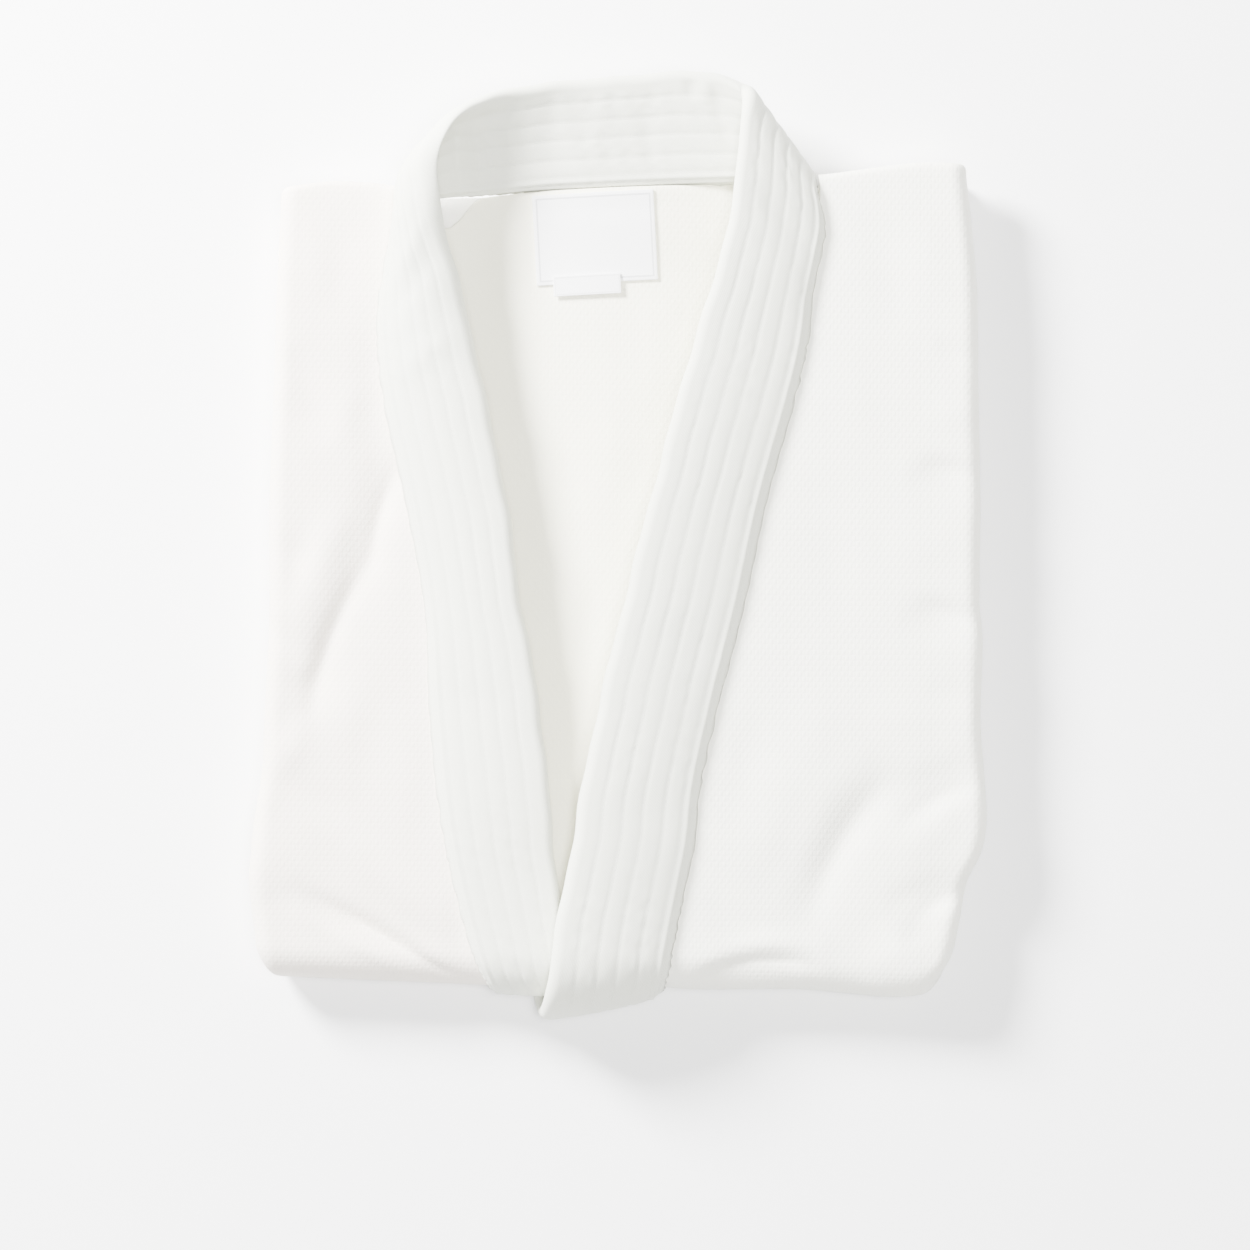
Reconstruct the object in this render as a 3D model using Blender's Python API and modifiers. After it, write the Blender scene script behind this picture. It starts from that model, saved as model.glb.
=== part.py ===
"""A judo jacket folded in half and laid flat, front up, its crossed lapels and neck band on top.

The garment is folded under at the waist, so its cloth goes round one bend. Every piece is worked
out in the cloth's own plane (x across, t along from the bend to the shoulders, lift off the outer
wall) and then laid round that bend. Sizes here are in millimetres and are turned to metres when a
mesh is made.
"""

import math
from collections import namedtuple

import bmesh
import bpy
from mathutils import Matrix, Vector

MILLIMETRE = 0.001

# Cloth
WALL = 2.0
SEAM_GAP = 0.5
LAYER_GAP = 0.8
LABEL_WALL = 0.8
TAG_WALL = 0.6

# The folded stack: half heights of its two slabs at the sides, and how much more in the middle
HALF_UPPER = 6.5
HALF_LOWER = 5.0
SWELL = 1.5
SWELL_WIDTH = 70.0
HALF_GROOVE = 2.2

# The bend at the waist: length of cloth for each radian, and how far the fronts run past it
BEND_RATE = 16.0
PAST_BEND = 1.0
BEND_STEPS = 9

# Shoulders: radius of the turned edge and how far it runs back inside
SHOULDER_RADIUS = 2.0
SHOULDER_FLAP = 12.0

# Neck band and lapels: one quilted band
BAND_HALF = 3.5
ROW_GROOVE = 0.7
BAND_ROWS = (0.105, 0.263, 0.45, 0.614, 0.79)
BAND_RIDGES = (0.18, 0.355, 0.53, 0.70, 0.90)

# How the fronts keep clear of the band: lifts that count, and the steps along the cloth
WALL_REACH = 1.9
SHOULDER_LOW = -5.6
SHOULDER_FROM = 142.0
LIMIT_STEP = 4.0
LIMIT_LEAST = 72.0

# Back panel in the neck opening
BACK_OVERLAP = 16.0
BACK_BOTTOM = -160.0
SEAM_SAG = 4.0
BACK_CROWN = 2.5

# Core
CORE_INSET = 4.8
CORE_UNDER = 3.2
CORE_GAP = 2.4
CORE_SHOULDER = 0.9
CORE_END = 3.5
CORE_GROOVE = 3.5
END_RELIEF = (0.0, -2.5, 0.6, -1.0, -4.0, -1.0, 0.6, -2.5, 0.0)

Side = namedtuple("Side", "y left right")
SIDES = (
    Side(-200, -153, 136),
    Side(-196, -154.6, 139),
    Side(-184, -158.6, 146.6),
    Side(-166, -160.9, 151),
    Side(-148, -162.7, 154.6),
    Side(-135, -161.8, 160.9),
    Side(-121, -160.4, 163.1),
    Side(-99, -156.9, 161.8),
    Side(-77, -156, 160.4),
    Side(-41, -154.2, 161.3),
    Side(-24, -153.7, 160),
    Side(21, -153.7, 160.4),
    Side(65, -152, 159.5),
    Side(110, -150.5, 159),
    Side(132, -149.5, 157.5),
    Side(165, -148, 154),
)

UNDER_SIDES = (
    Side(-185, -155, 146),
    Side(-60, -152, 156),
    Side(165, -146, 152),
)

Line = namedtuple("Line", "x y")
HEM_FOLD = (
    Line(-155, -191),
    Line(-120, -192.5),
    Line(-85, -194),
    Line(-60, -195),
    Line(-20, -196),
    Line(20, -196),
    Line(35, -197),
    Line(80, -197),
    Line(105, -199),
    Line(120, -200.5),
    Line(135, -199.5),
    Line(150, -195),
)
SHOULDERS = (
    Line(-148, 158.5),
    Line(-128, 161),
    Line(-110, 160.5),
    Line(-92, 158.5),
    Line(0, 161),
    Line(90, 164),
    Line(110, 166.5),
    Line(135, 169.5),
    Line(154, 169),
)

# Folds in the two fronts: from one end to the other, height (less than 0 is a valley), half width
Fold = namedtuple("Fold", "x0 y0 x1 y1 height half")
FOLDS = (
    Fold(-96, 50, -118, -42, -2.3, 10),
    Fold(-118, -30, -150, -88, -2.2, 11),
    Fold(-107, 112, -103, 10, -1.8, 9),
    Fold(-146, -150, -66, -200, -2.3, 8),
    Fold(-120, -128, -70, -172, 1.4, 9),
    Fold(-144, 90, -128, 45, -1.6, 8),
    Fold(-156, -30, -138, -52, -1.5, 6),
    Fold(-150, -155, -168, -130, 1.4, 14),
    Fold(128, -92, 76, -178, -2.2, 13),
    Fold(96, -60, 60, -150, 1.2, 14),
    Fold(30, -196, 82, -188, -2.2, 7),
    Fold(164, 22, 128, 34, -1.4, 7),
    Fold(162, -38, 124, -30, -1.4, 8),
    Fold(164, -96, 120, -112, -1.8, 8),
    Fold(158, -146, 118, -160, -2.0, 7),
    Fold(146, -202, 112, -168, 1.6, 9),
)

# The band's centre sheet from the wearer's right lapel over the neck to the left lapel:
# its seamed edge, its free edge, their lifts off the outer wall, how far it bulges outward between
# them, how much of its thickness is left where it is pressed, and the steps to the next row
Band = namedtuple("Band", "seam_x seam_t seam_lift free_x free_t free_lift bulge press steps")
BAND = (
    Band(-52.0, -228.5, -6.8, -14.0, -228.5, -7.4, 0.3, 0.5, 1),
    Band(-52.8, -222.6, -5.2, -14.7, -222.6, -6.6, 0.3, 0.6, 1),
    Band(-53.5, -216.7, -3.0, -15.5, -216.7, -4.8, 0.3, 0.75, 1),
    Band(-55.0, -204.0, 1.0, -17.5, -204.0, 1.0, 0.5, 0.9, 2),
    Band(-57.5, -191.6, 1.2, -19.6, -191.6, 1.6, 0.6, 1, 2),
    Band(-63.0, -179.0, 1.2, -22.0, -179.0, 1.6, 0.8, 1, 1),
    Band(-67.4, -164.0, 1.2, -24.3, -164.0, 1.4, 1, 1, 1),
    Band(-72.3, -144.0, 1.2, -26.9, -144.0, 1.8, 1.5, 1, 2),
    Band(-77.7, -113.0, 1.2, -29.6, -113.0, 4.0, 2.5, 1, 2),
    Band(-81.7, -68.0, 1.2, -34.5, -68.0, 5.5, 3, 1, 2),
    Band(-84.3, -24.0, 1.2, -42.5, -24.0, 6.5, 3.5, 1, 2),
    Band(-92.3, 21.0, 1.2, -48.7, 21.0, 7.0, 4, 1, 2),
    Band(-102.1, 65.6, 1.2, -58.0, 65.6, 8.0, 5, 1, 2),
    Band(-105.2, 96.6, 1.2, -64.7, 96.6, 9.5, 6.5, 1, 1),
    Band(-103.5, 115.7, 1.4, -69.6, 115.7, 12.0, 7.5, 1, 1),
    Band(-99.9, 134.8, 1.6, -75.0, 134.8, 16.0, 8, 1, 1),
    Band(-96.0, 145.0, 0.0, -78.5, 152.0, 20.0, 8, 1, 2),
    Band(-91.0, 152.0, -4.0, -80.0, 170.0, 22.0, 8, 1, 2),
    Band(-84.0, 155.0, -6.5, -75.9, 182.0, 22.0, 7, 1, 2),
    Band(-74.5, 156.3, -8.5, -67.9, 192.0, 18.0, 6, 1, 2),
    Band(-62.0, 157.0, -10.0, -59.4, 197.5, 13.0, 4.5, 1, 1),
    Band(-50.0, 158.0, -11.0, -48.7, 201.6, 7.0, 3.5, 1, 1),
    Band(-34.5, 159.2, -12.3, -33.2, 204.3, 1.0, 2, 1, 1),
    Band(-16.7, 160.0, -13.3, -16.7, 206.3, -2.5, 1, 1, 2),
    Band(1.1, 160.8, -13.6, 1.1, 208.3, -3.4, 0.5, 1, 2),
    Band(22.0, 161.6, -13.2, 20.0, 209.8, -3.0, 0.5, 1, 1),
    Band(42.0, 162.2, -11.4, 34.0, 210.0, -1.6, 0.5, 1, 1),
    Band(59.0, 162.6, -9.4, 44.0, 209.0, 0.0, 0.5, 1, 1),
    Band(74.0, 162.8, -8.2, 51.0, 206.5, 2.4, 0.5, 1, 1),
    Band(83.5, 162.4, -6.6, 55.0, 203.4, 4.7, 0.3, 1, 1),
    Band(86.8, 160.8, -2.7, 56.3, 199.5, 7.9, 0, 1, 1),
    Band(87.2, 157.0, 1.0, 55.6, 194.0, 10.6, 0, 1, 1),
    Band(89.4, 150.0, 1.3, 54.2, 184.0, 11.2, 0.5, 1, 1),
    Band(90.6, 140.0, 1.3, 52.3, 166.0, 10.6, 1, 1, 1),
    Band(88.3, 127.0, 1.3, 48.8, 144.0, 9.6, 1.2, 1, 1),
    Band(84.8, 109.0, 1.2, 43.4, 120.0, 8.6, 1.2, 1, 1),
    Band(82.6, 90.0, 1.2, 35.2, 96.0, 8.0, 1.2, 1, 2),
    Band(76.8, 65.4, 1.2, 26.5, 65.4, 8.0, 1.2, 1, 2),
    Band(64.3, 21.0, 1.2, 14.5, 21.0, 8.0, 1.2, 1, 2),
    Band(54.5, -24.0, 1.2, 2.9, -24.0, 8.2, 1.2, 1, 2),
    Band(43.4, -68.0, 1.2, -7.8, -68.0, 8.8, 1.2, 1, 2),
    Band(35.4, -104.0, 1.2, -15.4, -104.0, 9.5, 1.2, 1, 1),
    Band(32.3, -130.4, 1.2, -19.8, -130.4, 10.3, 1.2, 1, 1),
    Band(27.8, -152.6, 1.2, -24.3, -152.6, 11.0, 1.2, 1, 2),
    Band(22.5, -179.0, 1.4, -29.1, -179.0, 11.8, 1.2, 1, 2),
    Band(19.8, -191.6, 1.8, -32.5, -191.6, 12.2, 1.2, 1, 2),
    Band(17.6, -204.0, 1.8, -36.0, -204.0, 12.0, 1.2, 1, 2),
    Band(15.0, -216.7, -0.6, -39.0, -216.7, 4.0, 1.2, 0.9, 1),
    Band(13.8, -222.6, -1.4, -40.4, -222.6, 0.4, 1.2, 0.85, 1),
    Band(12.5, -228.5, -1.8, -41.5, -228.5, -1.8, 1.2, 0.8, 0),
)

# Woven label and size tag on the inside of the back: middle, size and turn in degrees
LABEL_MIDDLE = (-10.0, 137.5)
LABEL_SIZE = (54.0, 40.0)
LABEL_TURN = 3.0
TAG_MIDDLE = (-13.5, 116.5)
TAG_SIZE = (30.0, 9.0)


def remove_everything():
    for item in list(bpy.data.objects):
        bpy.data.objects.remove(item, do_unlink=True)


def smooth(value):
    value = min(max(value, 0.0), 1.0)
    return value * value * (3.0 - 2.0 * value)


def mix(a, b, share):
    return a + (b - a) * share


def slope(rows, key, name, i):
    """How fast a column changes at row i of a table."""
    low, high = max(i - 1, 0), min(i + 1, len(rows) - 1)
    rise = getattr(rows[high], name) - getattr(rows[low], name)
    return rise / (getattr(rows[high], key) - getattr(rows[low], key))


def along(rows, key, name, value):
    """A smooth curve through one column of a table, read where its key column has a value."""
    if value <= getattr(rows[0], key):
        return getattr(rows[0], name)
    if value >= getattr(rows[-1], key):
        return getattr(rows[-1], name)
    i = 0
    while getattr(rows[i + 1], key) < value:
        i += 1
    start, width = getattr(rows[i], key), getattr(rows[i + 1], key) - getattr(rows[i], key)
    u = (value - start) / width
    a, b = getattr(rows[i], name), getattr(rows[i + 1], name)
    before = slope(rows, key, name, i) * width
    after = slope(rows, key, name, i + 1) * width
    return (
        a * (2 * u**3 - 3 * u**2 + 1)
        + before * (u**3 - 2 * u**2 + u)
        + b * (3 * u**2 - 2 * u**3)
        + after * (u**3 - u**2)
    )


def swell(x):
    return SWELL * math.exp(-((x / SWELL_WIDTH) ** 2))


def half_upper(x):
    return HALF_UPPER + swell(x)


def half_lower(x):
    return HALF_LOWER + swell(x)


def middle_height(x):
    """Height of the groove between the upper and lower slabs."""
    return WALL / 2 + 2 * half_lower(x) + HALF_GROOVE


def half_at(x, angle):
    return mix(half_upper(x), half_lower(x), smooth(angle / math.pi))


def bend_line(x):
    """Where the top starts to turn down into the bend."""
    fold = along(HEM_FOLD, "x", "y", x) + WALL / 2
    return fold + HALF_GROOVE + 2 * half_at(x, math.pi / 2)


def bend_angle(x, t):
    return min(max((bend_line(x) - t) / BEND_RATE, 0.0), math.pi)


def folds_at(x, t):
    """Height that the large folds add at a point; none on the underside."""
    total = 0.0
    for fold in FOLDS:
        long_x, long_y = fold.x1 - fold.x0, fold.y1 - fold.y0
        length = math.hypot(long_x, long_y)
        run = ((x - fold.x0) * long_x + (t - fold.y0) * long_y) / length
        off = ((x - fold.x0) * long_y - (t - fold.y0) * long_x) / length
        if 0 < run < length and abs(off) < 3 * fold.half:
            total += fold.height * math.sin(math.pi * run / length) * math.exp(-((off / fold.half) ** 2))
    return total * (1.0 - smooth((bend_angle(x, t) - 0.9) / 0.9))


def cover(x, t, lift, folds=0.0):
    """The point at a lift off the outer wall, laid round the bend."""
    bend, centre = bend_line(x), middle_height(x)
    lift += folds * folds_at(x, t) if folds else 0.0
    angle = bend_angle(x, t)
    radius = HALF_GROOVE + 2 * half_at(x, angle) + lift
    if t >= bend:
        return Vector((x, t, centre + radius))
    beyond = max(0.0, bend - math.pi * BEND_RATE - t)
    return Vector((x, bend - radius * math.sin(angle) + beyond, centre + radius * math.cos(angle)))


def side_x(t, side, x):
    """The garment's side edge at a place along the cloth, read near a given x."""
    angle = bend_angle(x, t)
    place = cover(x, t, 0.0)
    name = "left" if side < 0 else "right"
    over, under = (along(rows, "y", name, place.y) for rows in (SIDES, UNDER_SIDES))
    return mix(over, under, smooth(angle / math.pi))


def side_centre(side, place_of):
    """Where one side's turn is centred, for a row whose place along the cloth is place_of(x)."""
    x = side * 150.0
    for _ in range(5):
        t = place_of(x)
        x = side_x(t, side, x) - side * half_at(x, bend_angle(x, t))
    return x


# The band

def band_outline():
    """Points of half a band section: share of the width from the seam, half thickness, groove."""
    points = [(0.0, 1.8, 0.0), (0.04, 3.0, 0.0)]
    for row, ridge in zip(BAND_ROWS, BAND_RIDGES):
        points.append((row, BAND_HALF, ROW_GROOVE))
        points.append((ridge, BAND_HALF, 0.0))
    points.append((0.97, 2.4, 0.0))
    return points


def band_stations():
    """Seam point, free point, bulge and press of each station, smoothly through the table's rows."""
    ends = [
        (Vector((r.seam_x, r.seam_t, r.seam_lift)), Vector((r.free_x, r.free_t, r.free_lift)))
        for r in BAND
    ]
    stations = []
    for i, row in enumerate(BAND[:-1]):
        rows = [ends[max(i - 1, 0)], ends[i], ends[i + 1], ends[min(i + 2, len(BAND) - 1)]]
        for step in range(row.steps):
            u = step / row.steps
            seam, free = (between([r[edge] for r in rows], u) for edge in (0, 1))
            after = BAND[i + 1]
            stations.append((seam, free, mix(row.bulge, after.bulge, u), mix(row.press, after.press, u)))
    return stations + [(*ends[-1], BAND[-1].bulge, BAND[-1].press)]


def between(four, u):
    """A point between the middle two of four, on the smooth curve through them."""
    a, b, c, d = four
    return 0.5 * ((2 * b) + (c - a) * u + (2 * a - 5 * b + 4 * c - d) * u**2 + (3 * b - a - 3 * c + d) * u**3)


def band_ring(before, here, after):
    """One section of the band, round its outer face to the free edge and back."""
    seam, free, bulge, press = here
    across = free - seam
    chord = across.length
    across.normalize()
    travel = (after[0] + after[1] - before[0] - before[1]).normalized()
    outward = across.cross(travel).normalized()
    outer, inner = [], []
    for share, half, groove in band_outline():
        rise = bulge * 4 * share * (1 - share)
        middle = seam + across * chord * share + outward * rise
        outer.append(middle + outward * (half - groove) * press)
        inner.append(middle - outward * (half - groove) * press)
    return outer + [free.copy()] + inner[::-1]


def band_rings():
    stations = band_stations()
    rings = []
    for i, here in enumerate(stations):
        before, after = stations[max(i - 1, 0)], stations[min(i + 1, len(stations) - 1)]
        rings.append(band_ring(before, here, after))
    return rings


def seam_limits(rings, side):
    """Along one lapel, how far across the band reaches at the panels' height: (t, x) rows."""
    half = len(rings) // 2
    found = {}
    near = rings[:half] if side < 0 else rings[half:]
    for here, after in zip(near, near[1:]):
        for part in range(4):
            ring = [p.lerp(q, part / 4) for p, q in zip(here, after)]
            for a, b in zip(ring, ring[1:] + ring[:1]):
                for step in range(6):
                    place = a.lerp(b, step / 6)
                    low = SHOULDER_LOW if place.y > SHOULDER_FROM else -WALL_REACH
                    if low < place.z < WALL_REACH and abs(place.x) > LIMIT_LEAST * (place.y > SHOULDER_FROM):
                        step_at = round(place.y / LIMIT_STEP)
                        found.setdefault(step_at, []).append(place.x)
    pick = min if side < 0 else max
    rows = sorted((at, pick(found[at])) for at in found)
    known = dict(rows)
    wide = [(at, pick([known.get(at + k, x) for k in (-1, 0, 1)])) for at, x in rows]
    return [(at * LIMIT_STEP, x) for at, x in wide]


def read_limits(limits, t):
    if t <= limits[0][0]:
        return limits[0][1]
    for (low, a), (high, b) in zip(limits, limits[1:]):
        if t <= high:
            return mix(a, b, (t - low) / (high - low))
    return limits[-1][1]


# Meshes

def sheet_mesh(rows, columns, place):
    """An open grid of rows by columns, each point moved to place(row, column)."""
    mesh = bmesh.new()
    bmesh.ops.create_grid(mesh, x_segments=rows - 1, y_segments=columns - 1, size=1.0)
    for vert in mesh.verts:
        row = round((vert.co.x + 1) / 2 * (rows - 1))
        column = round((vert.co.y + 1) / 2 * (columns - 1))
        vert.co = place(row, column) * MILLIMETRE
    return mesh


def add_object(name, mesh, material, wall=0.0):
    bmesh.ops.recalc_face_normals(mesh, faces=mesh.faces)
    data = bpy.data.meshes.new(name)
    mesh.to_mesh(data)
    mesh.free()
    item = bpy.data.objects.new(name, data)
    bpy.context.scene.collection.children["folded_judo_jacket"].objects.link(item)
    data.materials.append(material)
    if wall:
        thicken = item.modifiers.new("cloth", "SOLIDIFY")
        thicken.thickness = wall * MILLIMETRE
        thicken.offset = 0.0
        thicken.use_even_offset = True
    return item


def ring_mesh(rings):
    """A closed skin over rings of points, open at both ends."""
    count = len(rings[0])
    mesh = sheet_mesh(len(rings), count + 1, lambda i, j: rings[i][j % count])
    bmesh.ops.remove_doubles(mesh, verts=mesh.verts, dist=0.00001)
    return mesh


def cloth(name, colour, roughness):
    material = bpy.data.materials.new(name)
    material.use_nodes = True
    shader = material.node_tree.nodes["Principled BSDF"]
    shader.inputs["Base Color"].default_value = (*colour, 1.0)
    shader.inputs["Roughness"].default_value = roughness
    return material


# Fronts

def front_rows():
    """Rows of a front from inside the shoulder to just past the bend: (kind, share)."""
    rows = [("flap", 1.0), ("turn", 1.0), ("turn", 0.66), ("turn", 0.33), ("turn", 0.0)]
    top_steps = 25
    rows += [("top", (i + 1) / top_steps) for i in range(top_steps)]
    rows += [("bend", (i + 1) / BEND_STEPS) for i in range(BEND_STEPS)]
    return rows + [("past", 1.0)]


def row_place(kind, share, x):
    """Place along the cloth and depth of a front's row at a given x."""
    top = along(SHOULDERS, "x", "y", x) - SHOULDER_RADIUS
    bend = bend_line(x)
    if kind == "flap":
        return top - SHOULDER_FLAP, 2 * SHOULDER_RADIUS
    if kind == "turn":
        return (
            top + SHOULDER_RADIUS * math.sin(math.pi * share),
            SHOULDER_RADIUS * (1 - math.cos(math.pi * share)),
        )
    if kind == "top":
        return mix(top, bend, share), 0.0
    turned = math.pi * BEND_RATE
    return bend - turned * (share if kind == "bend" else 1.0) - (PAST_BEND if kind == "past" else 0), 0.0


FRONT_FLAT = (0.0, 0.06, 0.16, 0.29, 0.43, 0.57, 0.70, 0.82, 0.92, 1.0)
SIDE_TURN = (30, 60, 90, 120, 150, 180)


def front_point(side, kind, share, column, limits):
    """One point of a front's centre sheet."""
    x = side * 110.0
    for _ in range(4):
        t, depth = row_place(kind, share, x)
        half = half_at(x, bend_angle(x, t))
        centre = side_x(t, side, x) - side * half
        seam = read_limits(limits, t) + side * SEAM_GAP
        if column < len(FRONT_FLAT):
            x = mix(seam, centre, FRONT_FLAT[column])
            drop = depth
        else:
            turn = math.radians(SIDE_TURN[column - len(FRONT_FLAT)])
            x = centre + side * (half - depth) * math.sin(turn)
            drop = depth + (half - depth) * (1 - math.cos(turn))
    return cover(x, t, -drop, folds=1.0)


def build_front(name, side, limits, material):
    rows = front_rows()
    columns = len(FRONT_FLAT) + len(SIDE_TURN)
    mesh = sheet_mesh(
        len(rows), columns, lambda i, j: front_point(side, rows[i][0], rows[i][1], j, limits)
    )
    return add_object(name, mesh, material, WALL)


# Back panel seen in the neck opening

def opening_depth(y):
    """How deep the back lies below the outer wall in the middle of the opening."""
    return mix(6.0, 13.5, smooth((y + 170) / 130)) - 2.2 * smooth((y - 120) / 40)


def sag_at(x, y, seams):
    """How far the back sinks below the layer under the fronts."""
    left, right = read_limits(seams[0], y), read_limits(seams[1], y)
    inside = min(x - left, right - x)
    if inside < -14:
        return 0.0
    if inside < 0:
        return SEAM_SAG * smooth((inside + 14) / 14)
    full = opening_depth(y)
    middle, half = (left + right) / 2, (right - left) / 2
    crown = BACK_CROWN * max(0.0, 1 - ((x - middle) / (0.6 * half)) ** 2) if half > 20 else 0.0
    return mix(SEAM_SAG, full, smooth(inside / 34)) - crown * smooth((half - 20) / 30)


def back_depth(x, y, seams):
    return WALL + LAYER_GAP + sag_at(x, y, seams)


BACK_COLUMNS = 19
BACK_ROWS = 22


def neck_line(rings):
    """The neck band's seamed edge as (x, y) rows, where the back ends."""
    rows = []
    for ring in rings:
        seam = min(ring[0], ring[-1], key=lambda p: p.y)
        if -70 < seam.x < 78 and seam.y > 155:
            rows.append((seam.x, seam.y))
    return sorted(rows)


def back_point(i, j, seams, neck):
    y = 150.0
    for _ in range(3):
        left = read_limits(seams[0], y) - BACK_OVERLAP
        right = read_limits(seams[1], y) + BACK_OVERLAP
        x = mix(left, right, j / (BACK_COLUMNS - 1))
        inside = smooth((min(x + 76, 86 - x)) / 16)
        top = mix(142.0, read_limits(neck, x) - SEAM_GAP, inside)
        y = mix(top, BACK_BOTTOM, i / (BACK_ROWS - 1))
    return cover(x, y, -back_depth(x, y, seams), folds=1.0 - smooth((min(x - left, right - x) - 8) / 12))


def build_back(seams, rings, material):
    neck = neck_line(rings)
    points = [
        [back_point(i, j, seams, neck) for j in range(BACK_COLUMNS)] for i in range(BACK_ROWS)
    ]
    mesh = sheet_mesh(BACK_ROWS, BACK_COLUMNS, lambda i, j: points[i][j])
    add_object("back_panel", mesh, material, WALL)
    return points


def on_back(points, x, y):
    """A point of the back's own grid at a given place."""
    for upper, lower in zip(points, points[1:]):
        for j in range(BACK_COLUMNS - 1):
            a, b, c, d = upper[j], upper[j + 1], lower[j], lower[j + 1]
            if min(a.x, c.x) <= x <= max(b.x, d.x) and min(c.y, d.y) <= y <= max(a.y, b.y):
                u = (x - mix(a.x, c.x, 0.5)) / (mix(b.x, d.x, 0.5) - mix(a.x, c.x, 0.5))
                v = (y - mix(a.y, b.y, 0.5)) / (mix(c.y, d.y, 0.5) - mix(a.y, b.y, 0.5))
                height = mix(mix(a.z, b.z, u), mix(c.z, d.z, u), v)
                return Vector((x, y, height))
    return Vector((x, y, points[0][BACK_COLUMNS // 2].z))


def build_patch(name, middle, size, turn, lift, wall, points, material):
    """A small flat piece that lies on the back, made from the back's points moved up."""
    rows, columns = 6, 8
    c, s = math.cos(math.radians(turn)), math.sin(math.radians(turn))

    def place(i, j):
        u = (j / (columns - 1) - 0.5) * size[0]
        v = (0.5 - i / (rows - 1)) * size[1]
        spot = on_back(points, middle[0] + u * c - v * s, middle[1] + u * s + v * c)
        return spot + Vector((0, 0, lift))

    add_object(name, sheet_mesh(rows, columns, place), material, wall)


# Core of hidden layers

CORE_FLAT = (
    0.0, 0.05, 0.11, 0.17, 0.22, 0.27, 0.32, 0.37, 0.41, 0.45, 0.49, 0.53, 0.57, 0.61,
    0.66, 0.71, 0.77, 0.83, 0.89, 0.95, 1.0,
)
CORE_TURN = (45, 90, 135, 180)
CORE_TOP_STEPS = 15
CORE_ANGLES = (12, 30, 48, 66, 81)
END_LEVELS = 8


def core_top_depth(x, y, seams):
    """Depth of the core below the outer wall on top."""
    left, right = read_limits(seams[0], y), read_limits(seams[1], y)
    inside = smooth((min(x - left, right - x) + 28) / 9)
    shoulder = along(SHOULDERS, "x", "y", x)
    plain = CORE_INSET + CORE_SHOULDER * smooth((y - shoulder + 26) / 8)
    return mix(plain, back_depth(x, y, seams) + WALL / 2 + CORE_GAP, inside)


def core_under_depth(x, beyond):
    """Depth of the core above the table side: more where the lapels come round."""
    lapels = 1.0 - smooth((beyond - 3.0) / 4.0)
    double = smooth((x + 62) / 7) * (1 - smooth((x + 8) / 7))
    single = smooth((x + 10) / 7) * (1 - smooth((x - 17) / 7))
    return CORE_UNDER + lapels * max(double * 8.4, single * 4.4)


def core_along(t_share, angle, upper, x):
    """Place along the cloth of one core row."""
    bend = bend_line(x)
    if t_share is None:
        turned = math.radians(angle)
        return bend - BEND_RATE * (turned if upper else math.pi - turned)
    run = (along(SHOULDERS, "x", "y", x) - CORE_END - bend) * t_share
    return bend + run if upper else bend - BEND_RATE * math.pi - run


def core_point(t_share, angle, column, upper, seams, side=0):
    """One point of the core's skin; the same columns serve its upper and lower faces."""
    def place_of(x):
        return core_along(t_share, angle, upper, x)

    if side == 0:
        x = mix(side_centre(-1, place_of), side_centre(1, place_of), CORE_FLAT[column])
    else:
        centre = side_centre(side, place_of)
        turn = math.radians(CORE_TURN[min(column, len(CORE_TURN) - 1)])
        half = half_at(centre, bend_angle(centre, place_of(centre)))
        bent = bend_angle(centre, place_of(centre)) / math.pi
        near = smooth((t_share or 0.0) * 4 - 3) * CORE_SHOULDER if upper else 0.0
        edge = mix(CORE_INSET, CORE_UNDER, smooth(bent)) + near
        x = centre + side * (half - edge) * math.sin(turn)
        if column == len(CORE_TURN):
            other = side_centre(side, lambda x: core_along(t_share, angle, not upper, x))
            x = side * (min(abs(centre), abs(other)) - CORE_GROOVE)
    t = place_of(x)
    angle_here = bend_angle(x, t)
    if side == 0:
        top = core_top_depth(x, max(t, bend_line(x)), seams)
        beyond = max(0.0, bend_line(x) - math.pi * BEND_RATE - t)
        under = core_under_depth(x, beyond)
        over = mix(top, under, smooth((angle_here - 0.8) / 1.2))
    elif column == len(CORE_TURN):
        over = 2 * half
    else:
        over = edge + (half - edge) * (1 - math.cos(turn))
    if angle_here > 0:
        over = min(over, HALF_GROOVE + 2 * half_at(x, angle_here) - 0.3)
    return cover(x, t, -over)


def core_ring(t_share, angle, seams):
    """One section: over the top, round the right side and its groove, under, round the left side."""
    ring = [core_point(t_share, angle, j, True, seams) for j in range(len(CORE_FLAT))]
    turns = len(CORE_TURN)
    ring += [core_point(t_share, angle, j, True, seams, side=1) for j in range(turns + 1)]
    ring += [core_point(t_share, angle, j, False, seams, side=1) for j in range(turns, -1, -1)]
    ring += [core_point(t_share, angle, j, False, seams) for j in reversed(range(len(CORE_FLAT)))]
    ring += [core_point(t_share, angle, j, False, seams, side=-1) for j in range(turns + 1)]
    ring += [core_point(t_share, angle, j, True, seams, side=-1) for j in range(turns, -1, -1)]
    return ring


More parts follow.
